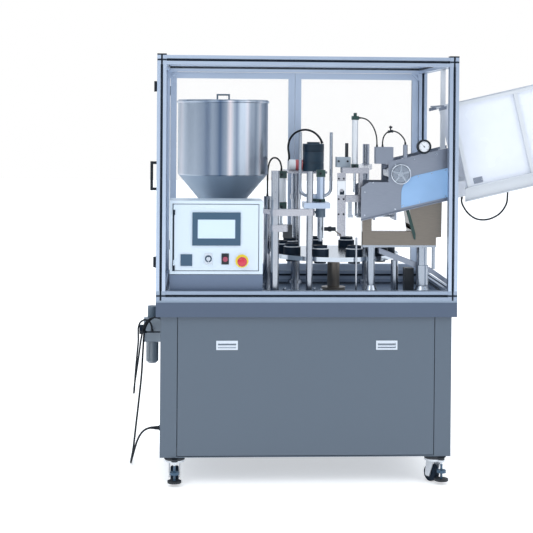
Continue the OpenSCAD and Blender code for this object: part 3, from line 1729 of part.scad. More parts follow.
module pressure_gauges() {
  y = mag_y - 2 * seat;
  color(black) {
    translate([gauge_at[0], y, gauge_at[1]]) rotate([90, 0, 0]) gauge(gauge_r, gauge_t);
    pin_y(gauge_at[0], y - gauge_sink, gauge_at[1], gauge_stem_r,
      gauge_sink + mag_plate_t + gauge_stem_r + seat);
    pin(
      gauge_at[0], mag_y + mag_plate_t + gauge_stem_r / 2 + seat,
      gauge_at[1] - gauge_r - gauge_stem_l / 2, gauge_stem_r / 2, gauge_r + gauge_stem_l / 2
    );
    translate([air_x - air_w / 2 - seat, air_y, air_z + air_h / 2]) rotate([0, -90, 0])
      gauge(small_gauge_r, small_gauge_t);
  }
}

// Air preparation unit
module filter_regulator() {
  color([0.75, 0.76, 0.75]) difference() {
    union() {
      slab(air_x, air_y, air_z, air_w, air_d, air_h);
      pin(air_x, air_y, air_z + air_h, air_neck_r, air_neck_h);
      pin_y(air_x, air_y + air_d / 2, air_z + air_h / 2, port_boss_r, port_boss_l);
      pin_y(air_x, air_y - air_d / 2 - port_boss_l, air_z + air_h / 2, port_boss_r, port_boss_l);
      block([air_x + air_w / 2, -cab_x - seat],
        [air_y - air_bracket_w / 2, air_y + air_bracket_w / 2],
        [air_z + air_h / 4, air_z + air_h / 4 + air_bracket_h]);
    }
    pin_y(air_x, air_y + air_d / 2 + port_boss_l - port_l, air_z + air_h / 2, port_r, port_l + cut);
  }
  color(clear) translate([air_x, air_y, air_z - bowl_h - seat]) rotate_extrude() polygon([
    [0, 0], [bowl_r - bowl_round, 0], [bowl_r, bowl_round], [bowl_r, bowl_h], [0, bowl_h]
  ]);
}

module regulator_knob() {
  z = air_z + air_h + seat;
  color(black) difference() {
    pin(air_x, air_y, z, air_knob_r, air_neck_h + air_knob_h);
    pin(air_x, air_y, z - cut, air_neck_r + run_fit, air_neck_h + cut);
    for (i = [0 : rib_count - 1]) rotate_at(air_x, air_y, 360 * i / rib_count)
      translate([air_knob_r, 0, z + air_neck_h])
        cylinder(r = rib_r, h = air_knob_h - 2 * air_neck_h, $fn = 6);
  }
}

module rotate_at(x, y, a) {
  translate([x, y, 0]) rotate(a) children();
}

// Cable gland, bushings and cable tie
module cable_fittings() {
  color(black) {
    translate([-cab_x - seat, gland_at[0], gland_at[1]]) rotate([0, -90, 0]) difference() {
      union() {
        cylinder(r = gland_r, h = gland_nut_l);
        cylinder(r1 = gland_r - cut, r2 = gland_dome_r, h = gland_l);
      }
      translate([0, 0, -cut]) cylinder(r = power_r + seat, h = gland_l + 2 * cut);
    }
    for (y = bush_y) translate([-cab_x - seat, y, bush_z]) rotate([0, -90, 0]) difference() {
      cylinder(r = bush_r, h = bush_l);
      translate([0, 0, -cut]) cylinder(r = power_r + seat, h = bush_l + 2 * cut);
    }
    translate([tie_at[0], tie_at[1], tie_at[2] - tie_h / 2]) difference() {
      cylinder(r = tie_ring_r, h = tie_h);
      translate([0, 0, -cut]) cylinder(r = tie_ring_r - tie_wall, h = tie_h + 2 * cut);
    }
    block([tie_at[0] + tie_ring_r - tie_wall / 2, -cab_x - seat],
      [tie_at[1] - tie_strap_t / 2, tie_at[1] + tie_strap_t / 2],
      [tie_at[2] - tie_h / 2, tie_at[2] + tie_h / 2]);
    slab(-cab_x - seat - tie_strap_t / 2, tie_at[1], tie_at[2] - tie_saddle / 2, tie_strap_t,
      tie_saddle, tie_saddle);
  }
}

module power_cable() {
  color(black) swept(POWER_ROUTE, power_r);
}

module signal_cable() {
  color(black) swept(SIGNAL_ROUTE, signal_r);
}

cabinet_shell();
cabinet_frame();
table_apron();
table_plate();
guard_frame();
frame_fittings();
clear_covers();
control_box();
hopper();
filling_pump();
drive_unit();
turntable_column();
station_posts();
station_arms();
air_cylinders();
hot_air_blower();
air_hoses();
discharge_chute();
magazine_plates();
magazine_window();
magazine_rails();
magazine_panels();
magazine_stand();
pressure_gauges();
filter_regulator();
cable_fittings();
power_cable();
signal_cable();
left_door();
left_door_pane();
left_door_fittings();
rear_door(-1);  // rear_door_left
rear_door(1);  // rear_door_right
front_panel();
panel_pulls();
control_door();
control_fittings();
key_switch();
start_button();
stop_button();
turntable();
tube_cups();
hopper_lid();
filling_nozzle();
hot_air_head();
exhaust_pipes();
crimp_ram();
crimp_jaw(0);  // crimp_jaw_left
crimp_jaw(1);  // crimp_jaw_right
tipping_cradle();
feed_wheel();
regulator_knob();
caster_fork(0);  // caster_fork_fl
caster_fork(1);  // caster_fork_fr
caster_fork(2);  // caster_fork_rl
caster_fork(3);  // caster_fork_rr
caster_wheel(0);  // caster_wheel_fl
caster_wheel(1);  // caster_wheel_fr
caster_wheel(2);  // caster_wheel_rl
caster_wheel(3);  // caster_wheel_rr
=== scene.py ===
import math

import bmesh
import bpy
from mathutils import Matrix, Vector
from mathutils.bvhtree import BVHTree


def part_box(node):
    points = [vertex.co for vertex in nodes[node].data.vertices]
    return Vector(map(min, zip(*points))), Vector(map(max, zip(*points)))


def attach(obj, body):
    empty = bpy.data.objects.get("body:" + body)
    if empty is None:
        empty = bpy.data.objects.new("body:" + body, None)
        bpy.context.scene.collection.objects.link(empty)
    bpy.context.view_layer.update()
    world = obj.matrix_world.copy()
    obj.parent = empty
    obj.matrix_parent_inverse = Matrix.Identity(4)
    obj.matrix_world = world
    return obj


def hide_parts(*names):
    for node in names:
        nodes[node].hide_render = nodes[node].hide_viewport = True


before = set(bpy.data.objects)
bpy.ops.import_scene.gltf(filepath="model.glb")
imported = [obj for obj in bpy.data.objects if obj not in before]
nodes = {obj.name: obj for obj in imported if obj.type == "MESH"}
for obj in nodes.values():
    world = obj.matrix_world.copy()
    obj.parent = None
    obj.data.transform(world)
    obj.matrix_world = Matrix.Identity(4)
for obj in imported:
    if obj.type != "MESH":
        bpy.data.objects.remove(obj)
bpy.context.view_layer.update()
print("frame loaded:", len(nodes), "parts")

# camera, solved from the guard's and cabinet's edges in the photograph

cameraView = {
    "place": (-0.4835, -6.2255, 1.5666),
    "yawDegrees": 3.068,
    "pitchDegrees": 0.75,
    "rollDegrees": 0.422,
    "focalPixels": 1355.8,
    "framePixels": 533,
    "centrePixels": (268.5, 139.8),
    "sensorMm": 36,
}


def makeCamera(view):
    yaw, pitch, roll = (math.radians(view[k]) for k in ("yawDegrees", "pitchDegrees", "rollDegrees"))
    ahead = Vector((math.sin(yaw) * math.cos(pitch), math.cos(yaw) * math.cos(pitch), -math.sin(pitch)))
    right = Vector((math.cos(yaw), -math.sin(yaw), 0))
    up = right.cross(ahead)
    turnedRight = math.cos(roll) * right + math.sin(roll) * up
    turnedUp = math.cos(roll) * up - math.sin(roll) * right
    data = bpy.data.cameras.new("photoCamera")
    data.sensor_width = view["sensorMm"]
    data.lens = view["focalPixels"] / view["framePixels"] * view["sensorMm"]
    half = view["framePixels"] / 2
    data.shift_x = (half - view["centrePixels"][0]) / view["framePixels"]
    data.shift_y = (view["centrePixels"][1] - half) / view["framePixels"]
    data.clip_end = 60
    camera = bpy.data.objects.new("photoCamera", data)
    bpy.context.scene.collection.objects.link(camera)
    axes = Matrix((turnedRight, turnedUp, -ahead)).transposed().to_4x4()
    camera.matrix_world = Matrix.Translation(Vector(view["place"])) @ axes
    bpy.context.scene.camera = camera


makeCamera(cameraView)


# mesh helpers


def addPiece(name, mesh, body, material, smooth=True):
    piece = bpy.data.objects.new(name, mesh)
    bpy.context.scene.collection.objects.link(piece)
    if material is not None:
        mesh.materials.clear()
        mesh.materials.append(material)
    if smooth:
        for face in mesh.polygons:
            face.use_smooth = True
    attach(piece, body)
    return piece


def meshFrom(bm, name):
    mesh = bpy.data.meshes.new(name)
    bmesh.ops.remove_doubles(bm, verts=bm.verts, dist=1e-6)
    bmesh.ops.recalc_face_normals(bm, faces=bm.faces)
    bm.to_mesh(mesh)
    bm.free()
    return mesh


def mm(*values):
    return tuple(v / 1000 for v in values)


def smoothRoute(points, steps):
    # a Catmull-Rom curve through the points
    path = []
    last = len(points) - 1
    for i in range(last):
        a, b, c, d = points[max(i - 1, 0)], points[i], points[i + 1], points[min(i + 2, last)]
        for k in range(steps):
            t = k / steps
            curve = (2 * a - 5 * b + 4 * c - d) * t ** 2 + (3 * b - a - 3 * c + d) * t ** 3
            path.append(0.5 * (2 * b + (c - a) * t + curve))
    path.append(points[last])
    return path


def skin(bm, rings, ends=True):
    # faces between each ring of vertices and the next, and over both ends
    for low, high in zip(rings, rings[1:]):
        for k in range(len(low)):
            j = (k + 1) % len(low)
            bm.faces.new((low[k], low[j], high[j], high[k]))
    if ends:
        bm.faces.new(list(reversed(rings[0])))
        bm.faces.new(rings[-1])


def tubeMesh(name, path, radii, sides=16):
    # a closed tube along a path, with a frame carried along without twist
    bm = bmesh.new()
    side = Vector((0.3, 1, 0.2))
    rings = []
    lengths = [0.0]
    for i in range(1, len(path)):
        lengths.append(lengths[-1] + (path[i] - path[i - 1]).length)
    for i, point in enumerate(path):
        ahead = (path[min(i + 1, len(path) - 1)] - path[max(i - 1, 0)]).normalized()
        side = (side - ahead * side.dot(ahead)).normalized()
        across = ahead.cross(side)
        r = radii(lengths[i]) if callable(radii) else radii
        rings.append([
            bm.verts.new(point + r * (side * math.cos(a) + across * math.sin(a)))
            for a in (2 * math.pi * k / sides for k in range(sides))
        ])
    skin(bm, rings)
    return meshFrom(bm, name)


def routeLength(path):
    return sum((b - a).length for a, b in zip(path, path[1:]))


# cords and hoses: the same points as the CAD routes, in millimetres

tableHeight = 800
beamSlope = math.tan(math.radians(13.3))


def fromTable(points):
    return [(x, y, tableHeight + z) for x, y, z in points]


powerLead = {
    "radius": 4.5,
    "reliefs": ((32, 7.6), (24, 7.2)),
    "points": [
        (-658, -60, 173), (-680, -60, 173), (-704, -60, 165), (-724, -60, 146), (-739, -60, 118),
        (-749, -60, 88), (-757, -59, 59), (-764, -52, 32), (-769, -33, 12), (-771, -7, 4.8),
        (-770, 19, 12), (-766, 38, 32), (-762, 46, 60), (-757, 48, 106), (-749, 43, 180),
        (-738, 36, 280), (-726, 24, 400), (-720, 15, 510), (-714, 8, 598), (-704, 10, 632),
        (-688, 11, 653), (-668, 13, 665), (-645, 14, 668),
    ],
}
signalLead = {
    "radius": 4,
    "reliefs": ((22, 6.6), (10, 6.2)),
    "points": [
        (-645, -10, 668), (-670, -10, 667), (-696, -10, 656), (-714, -9, 632), (-722, -8, 600),
        (-729, -15, 560), (-739, -28, 480), (-749, -37, 410), (-756, -39, 358), (-758, -28, 331),
        (-759, -8, 322), (-758, 12, 331), (-757, 22, 358), (-753, 18, 420), (-746, 9, 500),
        (-741, 2, 556), (-741, -3, 594), (-740, -10, 623), (-731, -18, 647), (-711, -23, 659),
        (-690, -20, 651), (-681, -10, 631), (-679, 5, 613), (-679, 22, 603), (-679, 39.5, 601.5),
    ],
}
airHoses = {
    "blowerHose": (5, fromTable([
        (-42, 172, 584), (-43, 170, 612), (-48, 159, 648), (-42, 144, 684), (-22, 126, 713),
        (8, 108, 729), (38, 95, 731), (67, 83, 720), (88, 75, 701), (99, 70, 684), (104, 68, 669.2),
    ])),
    "fillingHose": (4, fromTable([
        (-88.8, 8.5, 542.5), (-89, 9, 562), (-96, 18, 586), (-110, 36, 600), (-128, 60, 598),
        (-140, 82, 578), (-146, 99, 545), (-147, 108, 500), (-147, 110, 460), (-147, 110, 420.3),
    ])),
    "cylinderHose": (3, fromTable([
        (237.5, -234.5, 788), (256, -236, 787), (276, -241, 779), (293, -250, 761), (306, -262, 735),
        (313, -273, 705), (314, -280, 682), (314, -282, 661.3),
    ])),
    "magazineHose": (3, fromTable([
        (338, -290, 661.3), (338, -290, 684), (344, -290, 708), (360, -291, 726), (382, -294, 731),
        (404, -301, 724), (420, -312, 709), (430, -325, 692), (432, -335, 673.6),
    ])),
    "railHose": (4, [
        (241 + x, -72.5, 1141 + x * beamSlope - 26 - hang)
        for x, hang in (
            (495, 1.2), (495, 30), (520, 78), (556, 114), (594, 130), (632, 132), (672, 118),
            (700, 84), (706, 44), (706, 1.2),
        )
    ]),
}


sleeve = {
    "groovesFrom": 0.25, "groovesTo": 0.9, "groovePitch": 2.4, "grooveShare": 0.9, "step": 0.0012, "sides": 20,
}


def makeRelief(name, path, length, wide, narrow):
    # a moulded sleeve that narrows along the cord, with flex grooves round it
    def radius(run):
        share = min(run / length, 1)
        inGrooves = sleeve["groovesFrom"] < share < sleeve["groovesTo"]
        grooved = inGrooves and int(run * 1000 / sleeve["groovePitch"]) % 2
        return (wide + (narrow - wide) * share) * (sleeve["grooveShare"] if grooved else 1.0) / 1000

    route, run = [path[0]], 0.0
    for a, b in zip(path, path[1:]):
        steps = max(1, int((b - a).length / sleeve["step"]))
        for k in range(1, steps + 1):
            if run + (b - a).length * k / steps <= length:
                route.append(a + (b - a) * (k / steps))
        run += (b - a).length
    return addPiece(name, tubeMesh(name, route, radius, sleeve["sides"]), "machine", None)


def makeCord(name, radius, points, node, stiffness, reliefs):
    route = [Vector(mm(*p)) for p in points]
    path = smoothRoute(route, 6)
    piece = addPiece(name, tubeMesh(name, path, radius / 1000), "machine", None)
    ends = []
    for end, way, (length, wide) in zip(("Start", "End"), (path, list(reversed(path))), reliefs):
        ends.append(makeRelief(name + end, way, length / 1000, wide, radius + 0.5))
    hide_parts(node)
    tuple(route[0])
    round(routeLength(path), 3)
    2 * radius / 1000
    return [piece] + ends


cordPieces = []
for name, lead, node, stiffness in (
    ("powerLead", powerLead, "power_cable", "medium"), ("signalLead", signalLead, "signal_cable", "limp"),
):
    cordPieces += makeCord(name, lead["radius"], lead["points"], node, stiffness, lead["reliefs"])
for hose, (radius, points) in airHoses.items():
    cordPieces += makeCord(hose, radius, points, "air_hoses", "medium", ((12, radius + 2.2),) * 2)
print("cords made:", len(cordPieces))


# shader helpers


class Value:
    # wraps a shader socket, so that masks and patterns are written as sums
    def __init__(self, maker, socket):
        self.maker = maker
        self.socket = socket

    def join(self, operation, other, swap=False):
        pair = (other, self) if swap else (self, other)
        return self.maker.node("ShaderNodeMath", {"operation": operation}, {0: pair[0], 1: pair[1]})

    def __add__(self, other):
        return self.join("ADD", other)

    def __radd__(self, other):
        return self.join("ADD", other, True)

    def __sub__(self, other):
        return self.join("SUBTRACT", other)

    def __rsub__(self, other):
        return self.join("SUBTRACT", other, True)

    def __mul__(self, other):
        return self.join("MULTIPLY", other)

    def __rmul__(self, other):
        return self.join("MULTIPLY", other, True)

    def __truediv__(self, other):
        return self.join("DIVIDE", other)

    def size(self):
        return self.maker.node("ShaderNodeMath", {"operation": "ABSOLUTE"}, {0: self})

    def least(self, other):
        return self.join("MINIMUM", other)

    def most(self, other):
        return self.join("MAXIMUM", other)

    def __gt__(self, other):
        return self.join("GREATER_THAN", other)

    def __lt__(self, other):
        return self.join("LESS_THAN", other)


class Wiring:
    # adds nodes to one tree
    def __init__(self, tree):
        self.tree = tree
        tree.nodes.clear()

    def node(self, kind, settings, sockets, out=0):
        made = self.tree.nodes.new(kind)
        for key, value in settings.items():
            setattr(made, key, value)
        for key, value in sockets.items():
            if isinstance(value, Value):
                self.tree.links.new(value.socket, made.inputs[key])
            else:
                made.inputs[key].default_value = value
        return Value(self, made.outputs[out])

    def mixNode(self, factor, first, second):
        made = self.tree.nodes.new("ShaderNodeMix")
        made.data_type = "RGBA"
        for index, value in ((0, factor), (6, first), (7, second)):
            if isinstance(value, Value):
                self.tree.links.new(value.socket, made.inputs[index])
            else:
                made.inputs[index].default_value = value
        return Value(self, made.outputs[2])

    def parts(self, vector):
        split = self.node("ShaderNodeSeparateXYZ", {}, {0: vector}).socket.node
        return [Value(self, split.outputs[i]) for i in range(3)]


class Finish(Wiring):
    # one material: a Principled shader, and what varies over its surface
    def __init__(self, name):
        self.material = bpy.data.materials.new(name)
        self.material.use_nodes = True
        super().__init__(self.material.node_tree)
        self.shader = self.tree.nodes.new("ShaderNodeBsdfPrincipled")
        output = self.tree.nodes.new("ShaderNodeOutputMaterial")
        self.tree.links.new(self.shader.outputs[0], output.inputs[0])

    def place(self):
        return self.node("ShaderNodeTexCoord", {}, {}, "Object")

    def axes(self):
        return self.parts(self.place())

    def stretched(self, stretch):
        return self.node("ShaderNodeVectorMath", {"operation": "MULTIPLY"}, {0: self.place(), 1: stretch})

    def noise(self, size, stretch=(1, 1, 1), detail=3):
        # size is the pattern's own size in millimetres
        return self.node(
            "ShaderNodeTexNoise", {},
            {"Vector": self.stretched(stretch), "Scale": 1000 / size, "Detail": detail},
        )

    def inside(self, low, high):
        # 1 inside a box given in millimetres, 0 outside; None leaves a side open
        mask = None
        for value, a, b in zip(self.axes(), low, high):
            for edge, keep in ((a, "GREATER_THAN"), (b, "LESS_THAN")):
                if edge is None:
                    continue
                test = value.join(keep, edge / 1000)
                mask = test if mask is None else mask * test
        return mask

    def set(self, **inputs):
        for name, value in inputs.items():
            socket = self.shader.inputs[name.replace("_", " ")]
            if isinstance(value, Value):
                self.tree.links.new(value.socket, socket)
            else:
                socket.default_value = value
        return self.material

    def bump(self, height, strength, distance):
        normal = self.node(
            "ShaderNodeBump", {}, {"Height": height, "Strength": strength, "Distance": distance}, "Normal"
        )
        self.tree.links.new(normal.socket, self.shader.inputs["Normal"])


def colour(red, green, blue, alpha=1.0):
    return (red, green, blue, alpha)


# looks: colour, its darker tone, roughness, metal share and coat
looks = {
    "steel": (colour(0.46, 0.50, 0.56), colour(0.28, 0.32, 0.38), 0.20, 1.0, 0.0),
    "postSteel": (colour(0.74, 0.76, 0.80), colour(0.06, 0.09, 0.14), 0.20, 1.0, 0.0),
    "armSteel": (colour(0.56, 0.56, 0.60), colour(0.36, 0.37, 0.42), 0.26, 0.9, 0.0),
    "hopperSteel": (colour(0.48, 0.54, 0.62), colour(0.34, 0.40, 0.48), 0.27, 1.0, 0.0),
    "bright": (colour(0.62, 0.67, 0.73), colour(0.46, 0.51, 0.58), 0.16, 1.0, 0.0),
    "anodised": (colour(0.54, 0.63, 0.77), colour(0.42, 0.50, 0.63), 0.30, 0.80, 0.0),
    "footBar": (colour(0.33, 0.40, 0.51), colour(0.26, 0.32, 0.42), 0.34, 0.6, 0.0),
    "doorFace": (colour(0.66, 0.76, 0.85), colour(0.61, 0.71, 0.81), 0.30, 0.15, 0.1),
    # the stainless box foot is given a dark, nearly non-metal colour: the dark room painted in as a reflection
    "boxFootDarkReflection": (colour(0.138, 0.186, 0.276), colour(0.120, 0.164, 0.250), 0.38, 0.25, 0.1),
    "plate": (colour(0.33, 0.36, 0.43), colour(0.22, 0.25, 0.31), 0.30, 0.85, 0.0),
    "tableSteel": (colour(0.30, 0.36, 0.44), colour(0.17, 0.22, 0.29), 0.10, 1.0, 0.0),
    "warmPlate": (colour(0.25, 0.222, 0.190), colour(0.17, 0.152, 0.133), 0.30, 0.75, 0.0),
    "rail": (colour(0.70, 0.73, 0.77), colour(0.60, 0.63, 0.67), 0.38, 0.4, 0.0),
    # the stainless apron is given a dark, nearly non-metal colour: the dark room painted in as a reflection
    "apronDarkReflection": (colour(0.075, 0.106, 0.164), colour(0.065, 0.092, 0.145), 0.38, 0.25, 0.1),
    "paint": (colour(0.089, 0.121, 0.162), colour(0.080, 0.109, 0.147), 0.42, 0.0, 0.15),
    "black": (colour(0.010, 0.014, 0.020), colour(0.018, 0.024, 0.032), 0.46, 0.0, 0.0),
    # near black and rough: painted shade for the inside of grooves and recesses
    "slotShade": (colour(0.001, 0.009, 0.024), colour(0.002, 0.013, 0.030), 0.70, 0.0, 0.0),
    "rubber": (colour(0.009, 0.012, 0.017), colour(0.016, 0.020, 0.027), 0.58, 0.0, 0.0),
    "deepBlue": (colour(0.004, 0.015, 0.032), colour(0.002, 0.009, 0.021), 0.55, 0.0, 0.0),
    "blowerBlue": (colour(0.014, 0.050, 0.086), colour(0.006, 0.024, 0.046), 0.42, 0.0, 0.1),
    "slate": (colour(0.030, 0.085, 0.150), colour(0.024, 0.070, 0.128), 0.34, 0.0, 0.2),
    "slateGrey": (colour(0.10, 0.15, 0.20), colour(0.08, 0.12, 0.17), 0.42, 0.0, 0.1),
    "grey": (colour(0.30, 0.36, 0.42), colour(0.25, 0.30, 0.36), 0.45, 0.0, 0.1),
    "bowl": (colour(0.17, 0.21, 0.25), colour(0.14, 0.18, 0.22), 0.18, 0.0, 0.4),
    "white": (colour(0.80, 0.83, 0.87), colour(0.72, 0.75, 0.80), 0.40, 0.0, 0.1),
    "red": (colour(0.60, 0.020, 0.055), colour(0.50, 0.014, 0.040), 0.26, 0.0, 0.5),
    "dullRed": (colour(0.34, 0.040, 0.090), colour(0.26, 0.028, 0.065), 0.22, 0.0, 0.5),
    "heater": (colour(0.50, 0.10, 0.11), colour(0.40, 0.07, 0.08), 0.35, 0.0, 0.1),
    "yellow": (colour(0.86, 0.70, 0.05), colour(0.76, 0.60, 0.035), 0.35, 0.0, 0.2),
    "screen": (colour(0.62, 0.74, 0.88), colour(0.57, 0.70, 0.86), 0.10, 0.0, 0.4),
    "bottle": (colour(0.006, 0.045, 0.040), colour(0.004, 0.033, 0.030), 0.35, 0.0, 0.2),
}


def makeFinish(name, look, zones=(), grain=(2.5, (1, 1, 1)), relief=(0.15, 0.00002), grooveShade=None):
    # zones lists (low corner, high corner, look), boxes where another look takes over;
    # the last argument masks a slotted bar's grooves, which get dark painted shade
    finish = Finish(name)
    pattern = finish.noise(grain[0], grain[1], 4)
    broad = finish.noise(180, (1, 1, 1), 2)
    base, dark, rough, metal, coat = looks[look]
    tone = finish.mixNode(0.65 * pattern + 0.35 * broad, dark, base)
    roughness = rough * (0.75 + 0.3 * pattern + 0.2 * broad)
    metallic, coating = metal, coat
    masks = [(finish.inside(low, high), other) for low, high, other in zones]
    if grooveShade is not None:
        # the grooves take the dark painted shade
        masks.append((grooveShade(finish), "slotShade"))
    for mask, other in masks:
        base2, dark2, rough2, metal2, coat2 = looks[other]
        tone = finish.mixNode(mask, tone, finish.mixNode(pattern, dark2, base2))
        roughness = roughness + mask * (rough2 * (0.8 + 0.4 * pattern) - roughness)
        metallic = metallic + mask * (metal2 - metallic)
        coating = coating + mask * (coat2 - coating)
    finish.set(Base_Color=tone, Roughness=roughness, Metallic=metallic, Coat_Weight=coating)
    finish.shader.inputs["Coat Roughness"].default_value = 0.2
    if look in ("deepBlue", "black", "rubber"):
        finish.shader.inputs["Specular IOR Level"].default_value = 0.2
    finish.bump(pattern, relief[0], relief[1])
    return finish.material


brushedAlongX = (1.2, (0.04, 1, 1))
brushedAlongZ = (1.2, (1, 1, 0.04))


def fine(size):
    # an even grain, its size in millimetres
    return (size, (1, 1, 1))


def clearSheet(name, tint, amount, rough=0.04):
    finish = Finish(name)
    haze = finish.noise(140, (1, 1, 1), 2)
    finish.set(
        Base_Color=finish.mixNode(haze, tint, tuple(c * 0.92 for c in tint[:3]) + (1,)),
        Roughness=rough * (0.6 + 0.8 * haze), Alpha=amount * (0.8 + 0.4 * haze),
    )
    finish.bump(haze, 0.03, 0.0003)
    return finish.material


# a finish for every CAD part

guardBars = {"side": 40, "halfWidth": 650, "halfDepth": 425, "top": 1850, "foot": 800, "neck": 8, "strip": 11}


def grooveShadeMask(finish):
    # the grooves of all twelve slotted bars, given painted shade: near a bar's mid-plane and below its face
    bar = guardBars["side"] / 2
    x, y, z = finish.axes()
    middle = (guardBars["top"] + guardBars["foot"]) / 2000
    rise = (guardBars["top"] - guardBars["foot"]) / 2000
    across = (x.size() - (guardBars["halfWidth"] - bar) / 1000).size()
    along = (y.size() - (guardBars["halfDepth"] - bar) / 1000).size()
    height = ((z - middle).size() - (rise - bar / 1000)).size()
    mask = None
    for a, b in ((across, along), (along, height), (across, height)):
        groove = (a.least(b) < (guardBars["neck"] / 2 - 0.05) / 1000) * (a.most(b) < (bar - 0.4) / 1000)
        mask = groove if mask is None else mask.most(groove)
    # a dark strip also lines each groove on the outer faces, but not where two bars meet; it is taken for a
    # black cover strip, and is partly painted shade of the groove
    half = guardBars["strip"] / 2000
    for a, b, rest in ((across, along, height), (along, height, across), (across, height, along)):
        face = (a.most(b) > (bar - 0.4) / 1000) * (a.most(b) < (bar + 0.4) / 1000)
        mask = mask.most((a.least(b) < half) * (rest > (bar + 0.4) / 1000) * face)
    return mask


# painted reflections on the hopper drum: dark bands of mirrored room and pale painted highlights, placed across
# the drum as seen from the front
hopperReflectionBands = {
    "middle": (-358, 60),
    "coneTop": 1322,
    "dark": ((-0.38, 0.24, 0.6), (-0.08, 0.18, 1.0), (0.28, 0.08, 0.7), (0.70, 0.05, 0.4), (0.94, 0.08, 0.9)),
    "pale": ((-0.92, 0.08, 0.3), (0.135, 0.08, 1.0), (0.52, 0.07, 0.4), (0.80, 0.05, 0.4)),
}


def hopperFinishWithPaintedReflections(values):
    # brushed steel with painted reflections: upright dark and pale bands round the drum as seen from the front;
    # where, half width and strength of each
    finish = Finish("hopperSteel")
    x, y, z = finish.axes()
    dx, dy = x - values["middle"][0] / 1000, y - values["middle"][1] / 1000
    reach = finish.node("ShaderNodeMath", {"operation": "SQRT"}, {0: dx * dx + dy * dy})
    across = dx / reach
    grain = finish.noise(*brushedAlongZ, 4)
    base, dark, rough, metal, coat = looks["hopperSteel"]
    tone = finish.mixNode(grain, dark, base)
    # the dark bands are painted reflections, the pale ones painted highlights
    for bands, other in (
        (values["dark"], colour(0.10, 0.15, 0.24)), (values["pale"], colour(0.86, 0.78, 0.80)),
    ):
        for place, wide, strength in bands:
            near = (1 - (across - place).size() / wide).most(0)
            tone = finish.mixNode(near * strength, tone, other)
    cone = finish.inside((None, None, None), (None, None, values["coneTop"]))
    coneTone = finish.mixNode(grain, colour(0.20, 0.27, 0.36), colour(0.32, 0.40, 0.50))
    rough = (rough + 0.14 * cone) * (0.9 + 0.5 * grain)
    finish.set(Base_Color=finish.mixNode(cone, tone, coneTone), Metallic=metal - 0.45 * cone, Roughness=rough)
    finish.bump(grain, 0.3, 0.00005)
    return finish.material


plainFinishes = {
    "cabinet_shell": ("cabinetPaint", "paint", fine(1.6)),
    "cabinet_frame": ("framePaint", "paint", fine(1.6)),
    "front_panel": ("panelPaint", "paint", fine(1.6)),
    # the apron's dark tone is a painted reflection of the room
    "table_apron": ("apronSteel", "apronDarkReflection", brushedAlongX),
    "table_plate": ("tableSteel", "tableSteel", brushedAlongX),
    "frame_fittings": ("blackFittings", "black", fine(0.8)),
    "control_door": ("boxDoorSteel", "doorFace", brushedAlongX),
    "filling_pump": ("pumpSteel", "bright", fine(2)),
    "drive_unit": ("drivePaint", "slateGrey", fine(1.5)),
    "turntable_column": ("columnSteel", "warmPlate", brushedAlongX),
    "station_posts": ("groundPosts", "postSteel", (11, (1, 1, 0.01))),
    "discharge_chute": ("chuteSteel", "plate", brushedAlongX),
    "pressure_gauges": ("gaugeCase", "deepBlue", fine(0.8)),
    "cable_fittings": ("glandNylon", "black", fine(0.8)),
    "left_door": ("leftDoorBars", "anodised", fine(0.9)),
    "left_door_fittings": ("leftDoorBlack", "black", fine(0.8)),
    "panel_pulls": ("pullChrome", "bright", fine(2)),
    "key_switch": ("keyChrome", "bright", fine(1)),
    "start_button": ("startButton", "dullRed", fine(1)),
    "turntable": ("discSteel", "bright", fine(2)),
    "filling_nozzle": ("nozzleSteel", "bright", fine(1)),
    "exhaust_pipes": ("pipeChrome", "steel", fine(1)),
    "crimp_ram": ("ramSteel", "bright", fine(1)),
    "crimp_jaw_left": ("jawSteelLeft", "steel", brushedAlongZ),
    "crimp_jaw_right": ("jawSteelRight", "steel", brushedAlongZ),
    "tipping_cradle": ("cradleSteel", "bright", fine(1)),
    "regulator_knob": ("knobSlate", "slateGrey", fine(0.8)),
}
partFinishes = {
    node: makeFinish(material, look, grain=grain)
    for node, (material, look, grain) in plainFinishes.items()
}
